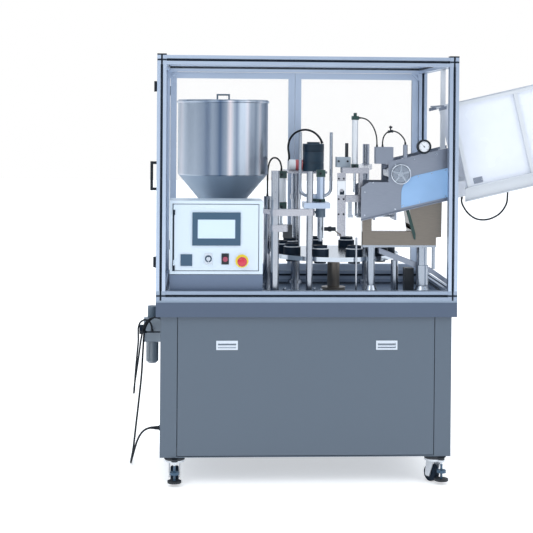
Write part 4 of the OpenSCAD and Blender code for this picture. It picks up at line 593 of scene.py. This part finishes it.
partFinishes.update({
    "guard_frame": makeFinish(
        "barAnodising", "anodised", grain=fine(0.9), grooveShade=grooveShadeMask,
        zones=[((None, None, None), (None, None, 840.5), "footBar")],
    ),
    "clear_covers": clearSheet("clearCovers", colour(0.90, 0.95, 1.0), 0.035),
    "control_box": makeFinish(
        "boxSteel", "doorFace", grain=brushedAlongX, zones=[
            # below the door the stainless box is painted dark: a painted reflection of the dark room
            ((None, None, None), (None, None, 907.5), "boxFootDarkReflection"),
            # the box's front inside this outline gets the dark painted shade, as in the bar grooves
            ((-581.5, None, 921), (-207.5, -366, 1212), "slotShade"),
        ],
    ),
    "hopper": hopperFinishWithPaintedReflections(hopperReflectionBands),
    "hopper_lid": makeFinish(
        "lidSteel", "hopperSteel", grain=brushedAlongX,
        zones=[((None, None, 1670), (None, None, None), "slateGrey")],
    ),
    "station_arms": makeFinish(
        "armSteel", "armSteel", grain=brushedAlongX,
        zones=[
            ((-100, -325, 1050), (-58, -270, 1125), "black"),
            ((138, -236, 1368), (206, -160, 1500), "grey"),
            ((170, -236, 1413.3), (206, -160, 1500), "black"),
            ((142, -256, 1244.5), (182, -241.6, 1310), "white"),
            # a small patch in the white block gets the dark painted shade of a recess
            ((154, -256.5, 1247), (174, -250, 1266), "slotShade"),
        ],
    ),
    "air_cylinders": makeFinish(
        "cylinderFinish", "rail", grain=fine(0.9),
        zones=[
            ((-120, -30, 1160), (-60, 40, 1199.3), "bottle"),
            ((-120, -30, 1309.2), (-60, 40, 1345), "bottle"),
            ((190, -260, 1366), (250, -200, 1383.2), "bottle"),
            ((190, -260, 1579), (250, -200, 1620), "bottle"),
        ],
    ),
    "hot_air_blower": makeFinish(
        "blowerFinish", "blowerBlue", grain=fine(1.2),
        zones=[
            ((-60, 30, 1330), (12.8, 96, 1400), "heater"), ((-60, 30, 1330), (-20, 96, 1400), "white"),
            ((-60, 130, 1330), (20, 200, 1400), "white"),
        ],
    ),
    "magazine_plates": makeFinish(
        "magazinePlate", "plate", grain=brushedAlongX,
        zones=[((416, -350, 1424), (448, -320, 1480), "black")],
    ),
    "magazine_window": clearSheet("blueWindow", colour(0.29, 0.48, 0.76), 0.93, 0.10),
    "magazine_rails": makeFinish(
        "railAnodising", "rail", grain=fine(0.9), zones=[((None, None, None), (612, None, None), "plate")],
    ),
    "magazine_panels": clearSheet("binPanels", colour(0.88, 0.92, 1.0), 0.80, 0.25),
    "magazine_stand": makeFinish(
        "standSteel", "steel", grain=brushedAlongX,
        zones=[
            ((None, -351, 1030), (None, None, None), "warmPlate"),
            # the first zone paints the box's left side, seen in shade with a green reflection, onto the stand's
            # front: painted shade and painted reflection
            ((430, -327, 1040), (482, -323.2, 1215), "bottle"), ((446, -242, 799), (492, -186, 922), "black"),
        ],
    ),
    "filter_regulator": makeFinish(
        "regulatorFinish", "grey", grain=fine(1.2),
        zones=[((None, None, None), (None, None, 546.9), "bowl")],
    ),
    "left_door_pane": clearSheet("leftPane", colour(0.90, 0.95, 1.0), 0.035),
    "control_fittings": makeFinish(
        "controlBlack", "slate", grain=fine(0.8),
        zones=[
            ((-472.6, -382, 1062.9), (-311.4, -378.4, 1144.1), "screen"),
            ((-443, -378, 950), (-409, -374.9, 1000), "bright"),
            ((-372, -384, 949), (-336, -374.9, 1000), "black"),
            ((-312, -380, 930), (-250, -374.9, 1000), "yellow"),
        ],
    ),
    "tube_cups": makeFinish(
        "cupFinish", "deepBlue", grain=(1.2, (1, 1, 0.2)),
        zones=[((None, None, 1006.2), (None, None, 1009.3), "white")],
    ),
    "hot_air_head": makeFinish(
        "headFinish", "anodised", grain=fine(0.9),
        zones=[
            ((30, -260, 1214.2), (100, -200, 1227.2), "bottle"),
            ((30, -260, 1325), (100, -200, 1360), "bottle"),
            ((-60, -260, 1130), (100, -200, 1189.8), "slateGrey"),
            ((57, -245, 1030), (87, -214, 1146), "steel"),
        ],
    ),
    "feed_wheel": makeFinish(
        "wheelWhite", "white", grain=fine(1), zones=[((None, None, None), (None, -328.8, None), "steel")],
    ),
})


def rearDoorFinish(name, low, high):
    # bars, pane and black fittings share one solid node, told apart by where they are
    finish = Finish(name)
    grain = finish.noise(0.9, (1, 1, 1), 4)
    paneMask = finish.inside((low + 30, 405, 872.2), (high - 30, 420, 1777.8))
    blackMask = finish.inside((None, 425.1, None), (None, None, None))
    anodised, dark = looks["anodised"][0], looks["anodised"][1]
    tone = finish.mixNode(paneMask, finish.mixNode(grain, dark, anodised), colour(0.90, 0.95, 1.0))
    tone = finish.mixNode(blackMask, tone, looks["black"][0])
    metal = 0.75 * (1 - paneMask) * (1 - blackMask)
    finish.set(
        Base_Color=tone, Metallic=metal, Roughness=0.36 * (0.7 + 0.5 * grain) * (1 - 0.8 * paneMask),
        Alpha=1 - paneMask * (1 - 0.035),
    )
    finish.bump(grain, 0.1, 0.00002)
    return finish.material


partFinishes["rear_door_left"] = rearDoorFinish("rearLeftFinish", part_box("rear_door_left")[0][0] * 1000, -1)
partFinishes["rear_door_right"] = rearDoorFinish("rearRightFinish", 1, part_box("rear_door_right")[1][0] * 1000)
casters = {"x": 566, "y": 360, "turns": (0, 30, 160, 200), "footBack": 50, "stud": 5.5, "thumb": 20.5}
for i, corner in enumerate(("fl", "fr", "rl", "rr")):
    turn = math.radians(casters["turns"][i])
    footX = casters["x"] * (-1, 1)[i % 2] + casters["footBack"] * math.sin(turn)
    footY = casters["y"] * (-1, 1)[i // 2] - casters["footBack"] * math.cos(turn)
    footZones = [
        ((footX - r, footY - r, low), (footX + r, footY + r, high), "slate")
        for r, low, high in ((casters["stud"], 24.2, 88), (casters["thumb"], 49.5, 61.5))
    ]
    partFinishes["caster_fork_" + corner] = makeFinish(
        "forkFinish" + corner.upper(), "rail", grain=fine(1.2),
        zones=[
            ((None, None, None), (None, None, 24.2), "rubber"),
            ((None, None, 105), (None, None, None), "black"),
        ] + footZones,
    )
    partFinishes["caster_wheel_" + corner] = makeFinish(
        "wheelFinish" + corner.upper(), "deepBlue", grain=fine(1),
    )

for name, material in partFinishes.items():
    data = nodes[name].data
    data.materials.clear()
    data.materials.append(material)
for piece in cordPieces:
    piece.data.materials.append(makeFinish(piece.name + "Rubber", "rubber", grain=fine(1.2)))
print("finishes made:", len(partFinishes))


# turned pieces and the places that small parts sit on


def turnedMesh(name, profile, centre, axis, sides=40):
    # a lathed solid: profile lists (radius, height) in millimetres along the axis from the centre
    along = Vector(axis).normalized()
    side = along.orthogonal().normalized()
    across = along.cross(side)
    bm = bmesh.new()
    rings = []
    for radius, height in profile:
        middle = Vector(mm(*centre)) + along * (height / 1000)
        rings.append([
            bm.verts.new(middle + (side * math.cos(a) + across * math.sin(a)) * (radius / 1000))
            for a in (2 * math.pi * k / sides for k in range(sides))
        ])
    skin(bm, rings, ends=False)
    bmesh.ops.remove_doubles(bm, verts=bm.verts, dist=1e-7)
    bmesh.ops.holes_fill(bm, edges=[e for e in bm.edges if e.is_boundary], sides=0)
    return meshFrom(bm, name)


def shadeByAngle(mesh, degrees=35):
    for face in mesh.polygons:
        face.use_smooth = True
    mesh.set_sharp_from_angle(angle=math.radians(degrees))


def turnedPiece(name, body, profile, centre, way, material, sides=24):
    mesh = turnedMesh(name, profile, centre, way, sides)
    piece = addPiece(name, mesh, body, material)
    shadeByAngle(mesh)
    return piece


surfaces = {}


def seatOn(node, start, way):
    # where a line from start, going way, first meets a CAD part; millimetres
    if node not in surfaces:
        mesh = nodes[node].data
        surfaces[node] = BVHTree.FromPolygons(
            [v.co for v in mesh.vertices], [tuple(p.vertices) for p in mesh.polygons]
        )
    hit = surfaces[node].ray_cast(Vector(mm(*start)), Vector(way))[0]
    return None if hit is None else hit * 1000


def lean(along, rise):
    # the magazine's own axes, turned to the machine's
    return (241 + along, 1141 + along * beamSlope + rise)


# screws: one head, placed by Geometry Nodes on points that carry their facing


def startTree(name, numbers, result):
    # a tree that takes points, numbers and a material; gives its wiring and those values
    tree = bpy.data.node_groups.new(name, "GeometryNodeTree")
    face = tree.interface
    face.new_socket("Points", in_out="INPUT", socket_type="NodeSocketGeometry")
    for label, value in numbers:
        face.new_socket(label, in_out="INPUT", socket_type="NodeSocketFloat").default_value = value
    face.new_socket("Material", in_out="INPUT", socket_type="NodeSocketMaterial")
    face.new_socket(result, in_out="OUTPUT", socket_type="NodeSocketGeometry")
    wiring = Wiring(tree)
    given = tree.nodes.new("NodeGroupInput")
    return wiring, [Value(wiring, given.outputs[i]) for i in range(len(numbers) + 2)]


def endTree(wiring, points, piece, material):
    # sets the piece on every point, turned to its facing, then makes it real and paints it
    facing = wiring.node("GeometryNodeInputNamedAttribute", {"data_type": "FLOAT_VECTOR"}, {"Name": "facing"})
    turn = wiring.node("FunctionNodeAlignRotationToVector", {"axis": "Z"}, {"Vector": facing})
    placed = wiring.node(
        "GeometryNodeInstanceOnPoints", {}, {"Points": points, "Instance": piece, "Rotation": turn},
    )
    real = wiring.node("GeometryNodeRealizeInstances", {}, {0: placed})
    painted = wiring.node("GeometryNodeSetMaterial", {}, {"Geometry": real, "Material": material})
    end = wiring.tree.nodes.new("NodeGroupOutput")
    wiring.tree.links.new(painted.socket, end.inputs[0])
    return wiring.tree


screwSides = 16


def makeScrewTree():
    wiring, (points, radius, height, socket, material) = startTree(
        "screwHeads", (("Head Radius", 0.004), ("Head Height", 0.003), ("Socket Radius", 0.002)), "Screws",
    )

    def lifted(made, lift, flip):
        place = wiring.node("ShaderNodeCombineXYZ", {}, {2: lift})
        made = wiring.node("GeometryNodeTransform", {}, {"Geometry": made, "Translation": place})
        return wiring.node("GeometryNodeFlipFaces", {}, {0: made}) if flip else made

    def ring(low, high, depth, lift, flip=False):
        return lifted(wiring.node(
            "GeometryNodeMeshCone", {"fill_type": "NONE"},
            {"Vertices": screwSides, "Radius Top": high, "Radius Bottom": low, "Depth": depth}, "Mesh",
        ), lift, flip)

    def lid(size, lift, flip=False):
        return lifted(wiring.node(
            "GeometryNodeMeshCircle", {"fill_type": "NGON"}, {"Vertices": screwSides, "Radius": size},
        ), lift, flip)

    joined = wiring.tree.nodes.new("GeometryNodeJoinGeometry")
    for piece in (
        ring(radius, radius, 0.75 * height, 0.0), ring(radius, 0.85 * radius, 0.25 * height, 0.75 * height),
        ring(0.85 * radius, socket, 0.0, height), ring(socket, socket, 0.5 * height, 0.5 * height, True),
        lid(socket, 0.5 * height), lid(radius, 0.0, True),
    ):
        wiring.tree.links.new(piece.socket, joined.inputs[0])
    head = wiring.node(
        "GeometryNodeMergeByDistance", {}, {"Geometry": Value(wiring, joined.outputs[0]), "Distance": 1e-6},
    )
    return endTree(wiring, points, head, material)


def growPiece(name, body, points, facings, tree, inputs):
    # runs a Geometry Nodes tree on points and keeps its result as a plain mesh
    mesh = bpy.data.meshes.new(name + "Points")
    mesh.from_pydata([mm(*p) for p in points], [], [])
    facing = mesh.attributes.new("facing", "FLOAT_VECTOR", "POINT")
    facing.data.foreach_set("vector", [c for f in facings for c in f])
    holder = bpy.data.objects.new(name + "Points", mesh)
    bpy.context.scene.collection.objects.link(holder)
    modifier = holder.modifiers.new("grow", "NODES")
    modifier.node_group = tree
    for item in tree.interface.items_tree:
        if item.in_out == "INPUT" and item.name in inputs:
            modifier[item.identifier] = inputs[item.name]
    grown = bpy.data.meshes.new_from_object(holder.evaluated_get(bpy.context.evaluated_depsgraph_get()))
    grown.name = name
    holder.modifiers.remove(modifier)
    bpy.data.objects.remove(holder)
    piece = addPiece(name, grown, body, None, smooth=False)
    shadeByAngle(grown)
    return piece


screwTree = makeScrewTree()
screwSteel = makeFinish("screwSteel", "bright", grain=fine(0.8))
postScrews = {
    "radius": 3.4, "height": 3, "socket": 1.7, "circle": 23.5, "angles": (45, 135, 225, 315), "above": 815,
    "feet": ((-136, -330), (17.5, -300), (-147, 110), (0, 295), (337, 280)),
}
plateScrews = {
    "radius": 4.2, "height": 2.6, "socket": 2.0,
    "places": (
        (16, 16), (16, 118), (52, 150), (112, 150), (150, 12), (150, 208), (232, 212), (330, 212),
        (404, 212), (404, 12),
    ),
}
windowScrews = {
    "radius": 2.6, "height": 1.6, "socket": 1.2,
    "places": ((184, 20), (258, 19), (372, 19), (250, 133), (310, 133), (372, 133)),
}
clampScrews = {  # the arms' clamps: their post and a height above them, and where round it
    "posts": ((-136, -330, 1400), (17.5, -300, 1400), (337, 280, 1500), (-147, 110, 1250)),
    "round": ((14, 22), (-14, 22), (22, 26), (-22, 26)),
}
bracketScrews = {"columns": (151, 173), "rows": (1318, 1227, 1160)}
tableStuds = {
    "radius": 6.5, "height": 24, "socket": 3, "above": 830,
    "places": (
        (-98, -262), (-66, -228), (-38, -268), (-26, -214), (58, -262), (80, -206), (52, -168), (-82, -170),
    ),
}
tableNuts = {"radius": 9, "height": 9, "socket": 6.6}
inFront = -345  # a line's start before the magazine and the brackets


def addScrews(name, body, values, places, material):
    places = [(p, f) for p, f in places if p is not None]
    return growPiece(name, body, [p for p, f in places], [f for p, f in places], screwTree, {
        "Head Radius": values["radius"] / 1000, "Head Height": values["height"] / 1000,
        "Socket Radius": values["socket"] / 1000, "Material": material,
    })


def onTop(node, places):
    # seats on a part's upper side; places lists (x, y, height to look down from)
    return [(seatOn(node, place, (0, 0, -1)), (0, 0, 1)) for place in places]


def onFront(node, places):
    # seats on a part's front; places lists (x, z)
    return [(seatOn(node, (x, inFront, z), (0, 1, 0)), (0, -1, 0)) for x, z in places]


footSpots = onTop("station_posts", [
    (x + postScrews["circle"] * math.cos(a), y + postScrews["circle"] * math.sin(a), postScrews["above"])
    for x, y in postScrews["feet"] for a in map(math.radians, postScrews["angles"])
])
plateSpots = onFront("magazine_plates", [lean(*place) for place in plateScrews["places"]])
windowSpots = onFront("magazine_window", [lean(*place) for place in windowScrews["places"]])
armSpots = onTop("station_arms", [
    (x + dx, y + dy, height) for x, y, height in clampScrews["posts"] for dx, dy in clampScrews["round"]
])
bracketPlaces = [(x, z) for z in bracketScrews["rows"] for x in bracketScrews["columns"]]
bracketSpots = onFront("station_arms", bracketPlaces)
studSpots = onTop("table_plate", [(x, y, tableStuds["above"]) for x, y in tableStuds["places"]])
screwBlack = makeFinish("screwBlack", "black", grain=fine(0.8))
screwGroups = (
    ("postFootScrews", postScrews, footSpots, screwSteel),
    ("magazineScrews", plateScrews, plateSpots, screwSteel),
    ("windowScrews", windowScrews, windowSpots, screwSteel),
    ("armScrews", plateScrews, armSpots, screwSteel),
    ("bracketScrews", plateScrews, bracketSpots, screwBlack),
    ("tableStuds", tableStuds, studSpots, screwSteel),
    ("tableNuts", tableNuts, studSpots, screwBlack),  # on the same studs
)
for name, values, spots, material in screwGroups:
    addScrews(name, "machine", values, spots, material)
print("screws made:", sum(len(spots) for name, values, spots, material in screwGroups) - len(studSpots))


# dials: a white disc, ticks and a needle


dial = {  # shares of the dial's radius; each pair is for short and long marks
    "marks": 31, "longEvery": 5, "firstDegrees": 225, "stepDegrees": 9, "from": (0.78, 0.68), "to": 0.90,
    "half": (0.010, 0.022), "tail": -0.2, "tip": 0.74, "needleHalf": 0.05, "disc": 0.96, "hub": (0.12, 0.08),
}


def makeDial(name, centre, outward, radius, pointer):
    # outward is the way the dial looks; its marks sweep three quarters of a turn
    out = Vector(outward)
    up = Vector((0, 0, 1))
    right = up.cross(out)
    bm = bmesh.new()

    def spoke(degrees, half, corners, lift, thick):
        # a flat bar along one angle; corners lists (reach, side) in shares
        c, s = math.cos(math.radians(degrees)), math.sin(math.radians(degrees))
        low = []
        for reach, side in corners:
            a, b = radius * (reach * c - side * half * s), radius * (reach * s + side * half * c)
            low.append(bm.verts.new((Vector(centre) + right * a + up * b + out * lift) / 1000))
        skin(bm, [low, [bm.verts.new(v.co + out * (thick / 1000)) for v in low]])

    for k in range(dial["marks"]):
        isLong = k % dial["longEvery"] == 0
        near, far = dial["from"][isLong], dial["to"]
        corners = ((near, 1), (near, -1), (far, -1), (far, 1))
        spoke(dial["firstDegrees"] - dial["stepDegrees"] * k, dial["half"][isLong], corners, 0.3, 0.2)
    spoke(pointer, dial["needleHalf"], ((dial["tail"], 1), (dial["tail"], -1), (dial["tip"], 0)), 0.6, 0.3)
    addPiece(name + "Marks", meshFrom(bm, name + "Marks"), "machine", dialInk, smooth=False)
    face, wide, narrow = (radius * share for share in (dial["disc"],) + dial["hub"])
    for part, profile, sides, material in (
        (name, ((0, 0), (face, 0), (face, 0.3), (0, 0.3)), 48, dialWhite),
        (name + "Hub", ((0, 0.3), (wide, 0.3), (wide, 1.2), (narrow, 1.4), (0, 1.4)), 24, dialInk),
    ):
        addPiece(part, turnedMesh(part, profile, centre, outward, sides), "machine", material, smooth=False)


dialWhite = makeFinish("dialWhite", "white", grain=fine(1))
dialInk = makeFinish("dialInk", "black", grain=fine(1))
gaugeX, gaugeZ = lean(272, 258.7)
gaugeFace = seatOn("pressure_gauges", (gaugeX, -380, gaugeZ), (0, 1, 0))
makeDial("magazineDial", gaugeFace, (0, -1, 0), 24, 130)
turnedPiece("gaugeBezel", "machine", [
    (23, 0), (31.4, 0), (31.4, 3.2), (30, 4.4), (25.5, 4.4), (23, 2.4), (23, 0),
], gaugeFace, (0, -1, 0), dialInk, 56)
smallFace = seatOn("pressure_gauges", (-760, 72, 600), (1, 0, 0))
makeDial("regulatorDial", smallFace, (-1, 0, 0), 16, 100)


# the stop button's mushroom head, and rings round the blower

stopHead = turnedPiece("stopHead", "stop_button", [
    (0, -356.2), (7, -356.2), (7, -400), (9, -402.2), (17.5, -402.2), (20.3, -403.6), (21, -406.5),
    (20.7, -411), (19.2, -415), (15.5, -418.2), (9, -419.8), (0, -420.2),
], (-281, 0, 965), (0, 1, 0), makeFinish("stopRed", "red", grain=fine(1)), 48)
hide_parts("stop_button")


blowerRings = {
    "sides": 48, "wireSides": 8, "middle": (63, 68), "first": 92, "step": 5.5, "count": 6,
    "radius": 49.6, "wire": 1.4,
}


def makeRingTree(values):
    wiring, (points, radius, wire, material) = startTree(
        "ringStack", (("Ring Radius", 0.01), ("Wire Radius", 0.01)), "Rings",
    )
    circle, section = (
        wiring.node("GeometryNodeCurvePrimitiveCircle", {}, {"Resolution": sides, "Radius": size})
        for sides, size in ((values["sides"], radius), (values["wireSides"], wire))
    )
    ring = wiring.node("GeometryNodeCurveToMesh", {}, {"Curve": circle, "Profile Curve": section})
    return endTree(wiring, points, ring, material)


ribBlack = makeFinish("ribBlack", "deepBlue", grain=fine(1))
ringTree = makeRingTree(blowerRings)
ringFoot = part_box("hot_air_blower")[0][2] * 1000 + blowerRings["first"]
ringHeights = [ringFoot + blowerRings["step"] * k for k in range(blowerRings["count"])]
ringSpots = [blowerRings["middle"] + (height,) for height in ringHeights]
growPiece("blowerRibs", "machine", ringSpots, [(0, 0, 1)] * len(ringSpots), ringTree, {
    "Ring Radius": blowerRings["radius"] / 1000, "Wire Radius": blowerRings["wire"] / 1000,
    "Material": ribBlack,
})

# the feed wheel's face: a hub, a rim line and a star of ribs


def makeWheelFace(values):
    x, y, z = values["centre"]
    hub, rim, rise = values["hub"], values["rim"], values["rise"]
    near, far, wide = hub * 0.8, rim - 2, values["ribWidth"] / 2
    bm = bmesh.new()
    for k in range(values["ribs"]):
        a = 2 * math.pi * k / values["ribs"] + values["firstTurn"]
        c, s = math.cos(a), math.sin(a)
        corners = [
            (x + r * c - w * s, z + r * s + w * c)
            for r, w in ((near, -wide), (far, -wide * 0.6), (far, wide * 0.6), (near, wide))
        ]
        skin(bm, [[bm.verts.new(mm(u, depth, v)) for u, v in corners] for depth in (y - rise, y)])
    addPiece("wheelRibs", meshFrom(bm, "wheelRibs"), "feed_wheel", screwSteel, smooth=False)
    turnedPiece("wheelHub", "feed_wheel", [
        (0, 0), (hub, 0), (hub, rise + 1), (hub - 1, rise + 2), (hub * 0.45, rise + 2),
        (hub * 0.45, rise + 0.6), (0, rise + 0.6),
    ], values["centre"], (0, -1, 0), screwSteel, 40)
    turnedPiece("wheelRim", "feed_wheel", [
        (rim - 4, 0), (rim, 0), (rim, rise), (rim - 1, rise + 0.6), (rim - 3, rise + 0.6),
        (rim - 4, rise), (rim - 4, 0),
    ], values["centre"], (0, -1, 0), screwSteel, 56)


wheelFace = {
    "centre": (414, -338, 1342.9), "rise": 1.5, "hub": 13, "rim": 44, "ribs": 5, "ribWidth": 9,
    "firstTurn": 0.3,
}
makeWheelFace(wheelFace)


# air fittings: a hexagon nut and a body


def makeFitting(name, body, centre, way, size, material):
    nutProfile = [(0, -0.5), (size * 1.25, -0.5), (size * 1.25, size * 0.8), (0, size * 0.8)]
    nut = turnedMesh(name + "Nut", nutProfile, centre, way, 6)
    addPiece(name + "Nut", nut, body, material, smooth=False)
    turnedPiece(name + "Stem", body, [
        (0, size * 0.8), (size, size * 0.8), (size, size * 2.4), (size * 0.8, size * 2.5),
        (size * 0.8, size * 3.0), (0, size * 3.0),
    ], centre, way, material)


fittingBlack = makeFinish("fittingBlack", "black", grain=fine(0.8))
fittings = {
    "lowerPort": ("air_cylinders", "machine", (219, -290, 1375), (0, 1, 0), 5),
    "fillUpperPort": ("air_cylinders", "machine", (-88.8, -60, 1326), (0, 1, 0), 5),
    "fillLowerPort": ("air_cylinders", "machine", (-88.8, -60, 1178), (0, 1, 0), 5),
    "headUpperPort": ("hot_air_head", "hot_air_head", (68, -300, 1340), (0, 1, 0), 5),
    "headLowerPort": ("hot_air_head", "hot_air_head", (68, -300, 1220), (0, 1, 0), 5),
    "blockPort": ("station_arms", "machine", (150, -280, 1395), (0, 1, 0), 4),
    "armPort": ("station_arms", "machine", (190, -280, 1395), (0, 1, 0), 4),
}
for name, (node, body, start, way, size) in fittings.items():
    seat = seatOn(node, start, way)
    if seat is not None:
        makeFitting(name, body, seat, [-v for v in way], size, fittingBlack)
print("dials, stop head, ribs and fittings made")


# the small bare plate on the bin


def makePlate(name, centre, values, body, material):
    # a thin plate with round corners and a chamfered rim, facing the front
    bm = bmesh.new()
    tilt = math.radians(values["tilt"])
    rings = []
    for inset, lift in ((0, 0), (0, values["thick"] * 0.6), (values["thick"] * 0.4, values["thick"])):
        ring = []
        for k in range(values["sides"]):
            a = 2 * math.pi * (k + 0.5) / values["sides"]
            reach = values["corner"] - inset
            u = math.copysign(values["width"] / 2 - values["corner"], math.cos(a)) + reach * math.cos(a)
            v = math.copysign(values["height"] / 2 - values["corner"], math.sin(a)) + reach * math.sin(a)
            x = centre[0] + u * math.cos(tilt) - v * math.sin(tilt)
            z = centre[2] + u * math.sin(tilt) + v * math.cos(tilt)
            ring.append(bm.verts.new(mm(x, centre[1] - lift, z)))
        rings.append(ring)
    skin(bm, rings)
    addPiece(name, meshFrom(bm, name), body, material, smooth=False)


binPlate = {
    "width": 42, "height": 26, "thick": 1.4, "corner": 3, "tilt": 13.3, "sides": 24,
    "at": (757, 1318.5), "screwOut": 16, "screwSink": 1.3,
}
plateX, plateZ = binPlate["at"]
plateSeat = seatOn("magazine_panels", (plateX, inFront, plateZ), (0, 1, 0))
if plateSeat is not None:
    plateGrey = makeFinish("binPlateGrey", "plate", grain=brushedAlongX)
    makePlate("binPlate", plateSeat, binPlate, "machine", plateGrey)
    holes = [
        (plateX + out, plateSeat[1] - binPlate["screwSink"], plateZ + out * beamSlope)
        for out in (-binPlate["screwOut"], binPlate["screwOut"])
    ]
    addScrews("binPlateScrews", "machine", windowScrews, [(h, (0, -1, 0)) for h in holes], screwSteel)
print("bin plate made")


# the hose tee with its thumb screw, and the clamps at the crimping station


teeBrass = makeFinish("teeBrass", "warmPlate", grain=fine(0.8))
tee = {"at": (372, -292.5, 729), "length": 22, "radius": 6.5, "screw": 26}
half = tee["length"] / 2
teeAt = (tee["at"][0], tee["at"][1], tableHeight + tee["at"][2])
turnedPiece("teeBody", "machine", [
    (3.2, -half), (tee["radius"], -half), (tee["radius"], -half * 0.5), (tee["radius"] * 0.8, -half * 0.4),
    (tee["radius"] * 0.8, half * 0.4), (tee["radius"], half * 0.5), (tee["radius"], half), (3.2, half),
    (3.2, -half),
], teeAt, (1, -0.05, 0.14), fittingBlack)
turnedPiece("teeScrew", "machine", [
    (0, 3), (3, 3), (3, tee["screw"] * 0.55), (7.5, tee["screw"] * 0.6), (7.5, tee["screw"] * 0.85),
    (2, tee["screw"] * 0.9), (2, tee["screw"]), (0, tee["screw"]),
], teeAt, (0.05, 0, 1), fittingBlack, 12)
turnedPiece("clampBarrel", "machine", [
    (0, -26), (7, -26), (9, -24), (9, -8), (12, -6), (12, 6), (9, 8), (9, 24), (7, 26), (0, 26),
], (112, -250, 1095), (1, 0, 0), fittingBlack)
turnedPiece("clampPin", "machine", [
    (0, 0), (2.6, 0), (2.6, 30), (4.4, 31), (4.4, 37), (0, 38),
], (132, -250, 1090), (0.72, 0, -0.6), teeBrass, 12)


# floor and light

studio = {
    "floorSize": 60, "floorGlow": 0.45, "bands": 3.2, "bandEdges": (0.42, 0.56), "ceilingEdges": (0.30, 0.62),
    "darkBand": (0.10, 0.16, 0.25, 1), "paleBand": (1.05, 1.09, 1.14, 1), "ceiling": (0.95, 1.0, 1.05, 1),
    "lights": (  # name, place, size and watts
        ("keyLight", (-2.5, -4.0, 4.5), 3.0, 62), ("sideLight", (4.0, -3.0, 3.0), 2.5, 34),
        ("backLight", (0.5, 4.5, 4.0), 3.0, 34),
    ),
    "lightsLookAt": (0, 0, 0.9),
}


def makeStudio(values):
    bm = bmesh.new()
    half = values["floorSize"] / 2
    corners = [bm.verts.new((x * half, y * half, 0)) for x, y in ((-1, -1), (1, -1), (1, 1), (-1, 1))]
    bm.faces.new(corners)
    mesh = bpy.data.meshes.new("studioFloor")
    bm.to_mesh(mesh)
    bm.free()
    floor = bpy.data.objects.new("studioFloor", mesh)
    bpy.context.scene.collection.objects.link(floor)
    material = bpy.data.materials.new("paleFloor")
    material.use_nodes = True
    sockets = material.node_tree.nodes["Principled BSDF"].inputs
    sockets["Base Color"].default_value = colour(0.93, 0.94, 0.95)
    sockets["Roughness"].default_value = 0.8
    sockets["Emission Color"].default_value = colour(1, 1, 1)
    sockets["Emission Strength"].default_value = values["floorGlow"]
    mesh.materials.append(material)

    # white behind the object; soft pale and dark bands all round for the metal to mirror
    world = bpy.data.worlds.new("studioWorld")
    world.use_nodes = True
    wiring = Wiring(world.node_tree)
    x, y, z = wiring.parts(wiring.node("ShaderNodeTexCoord", {}, {}, "Generated"))
    ring = wiring.node("ShaderNodeCombineXYZ", {}, {0: x, 1: y, 2: 0.12 * z})
    band = wiring.node("ShaderNodeTexNoise", {}, {"Vector": ring, "Scale": values["bands"], "Detail": 1.5})
    low, high = values["bandEdges"]
    band = wiring.node("ShaderNodeMapRange", {}, {0: band, 1: low, 2: high, 3: 0.0, 4: 1.0})
    room = wiring.mixNode(band, values["darkBand"], values["paleBand"])
    low, high = values["ceilingEdges"]
    ceiling = wiring.node("ShaderNodeMapRange", {}, {0: z, 1: low, 2: high, 3: 0.0, 4: 1.0})
    room = wiring.mixNode(ceiling, room, values["ceiling"])
    straight = wiring.node("ShaderNodeLightPath", {}, {}, "Is Camera Ray")
    seen = wiring.mixNode(straight, room, (1, 1, 1, 1))
    background = wiring.tree.nodes.new("ShaderNodeBackground")
    output = wiring.tree.nodes.new("ShaderNodeOutputWorld")
    wiring.tree.links.new(seen.socket, background.inputs[0])
    wiring.tree.links.new(background.outputs[0], output.inputs[0])
    bpy.context.scene.world = world
    bpy.context.scene.view_settings.view_transform = "Standard"
    for name, place, size, watts in values["lights"]:
        data = bpy.data.lights.new(name, "AREA")
        data.size = size
        data.energy = watts
        light = bpy.data.objects.new(name, data)
        light.location = place
        way = Vector(values["lightsLookAt"]) - Vector(place)
        light.rotation_euler = way.to_track_quat("-Z", "Y").to_euler()
        bpy.context.scene.collection.objects.link(light)


makeStudio(studio)
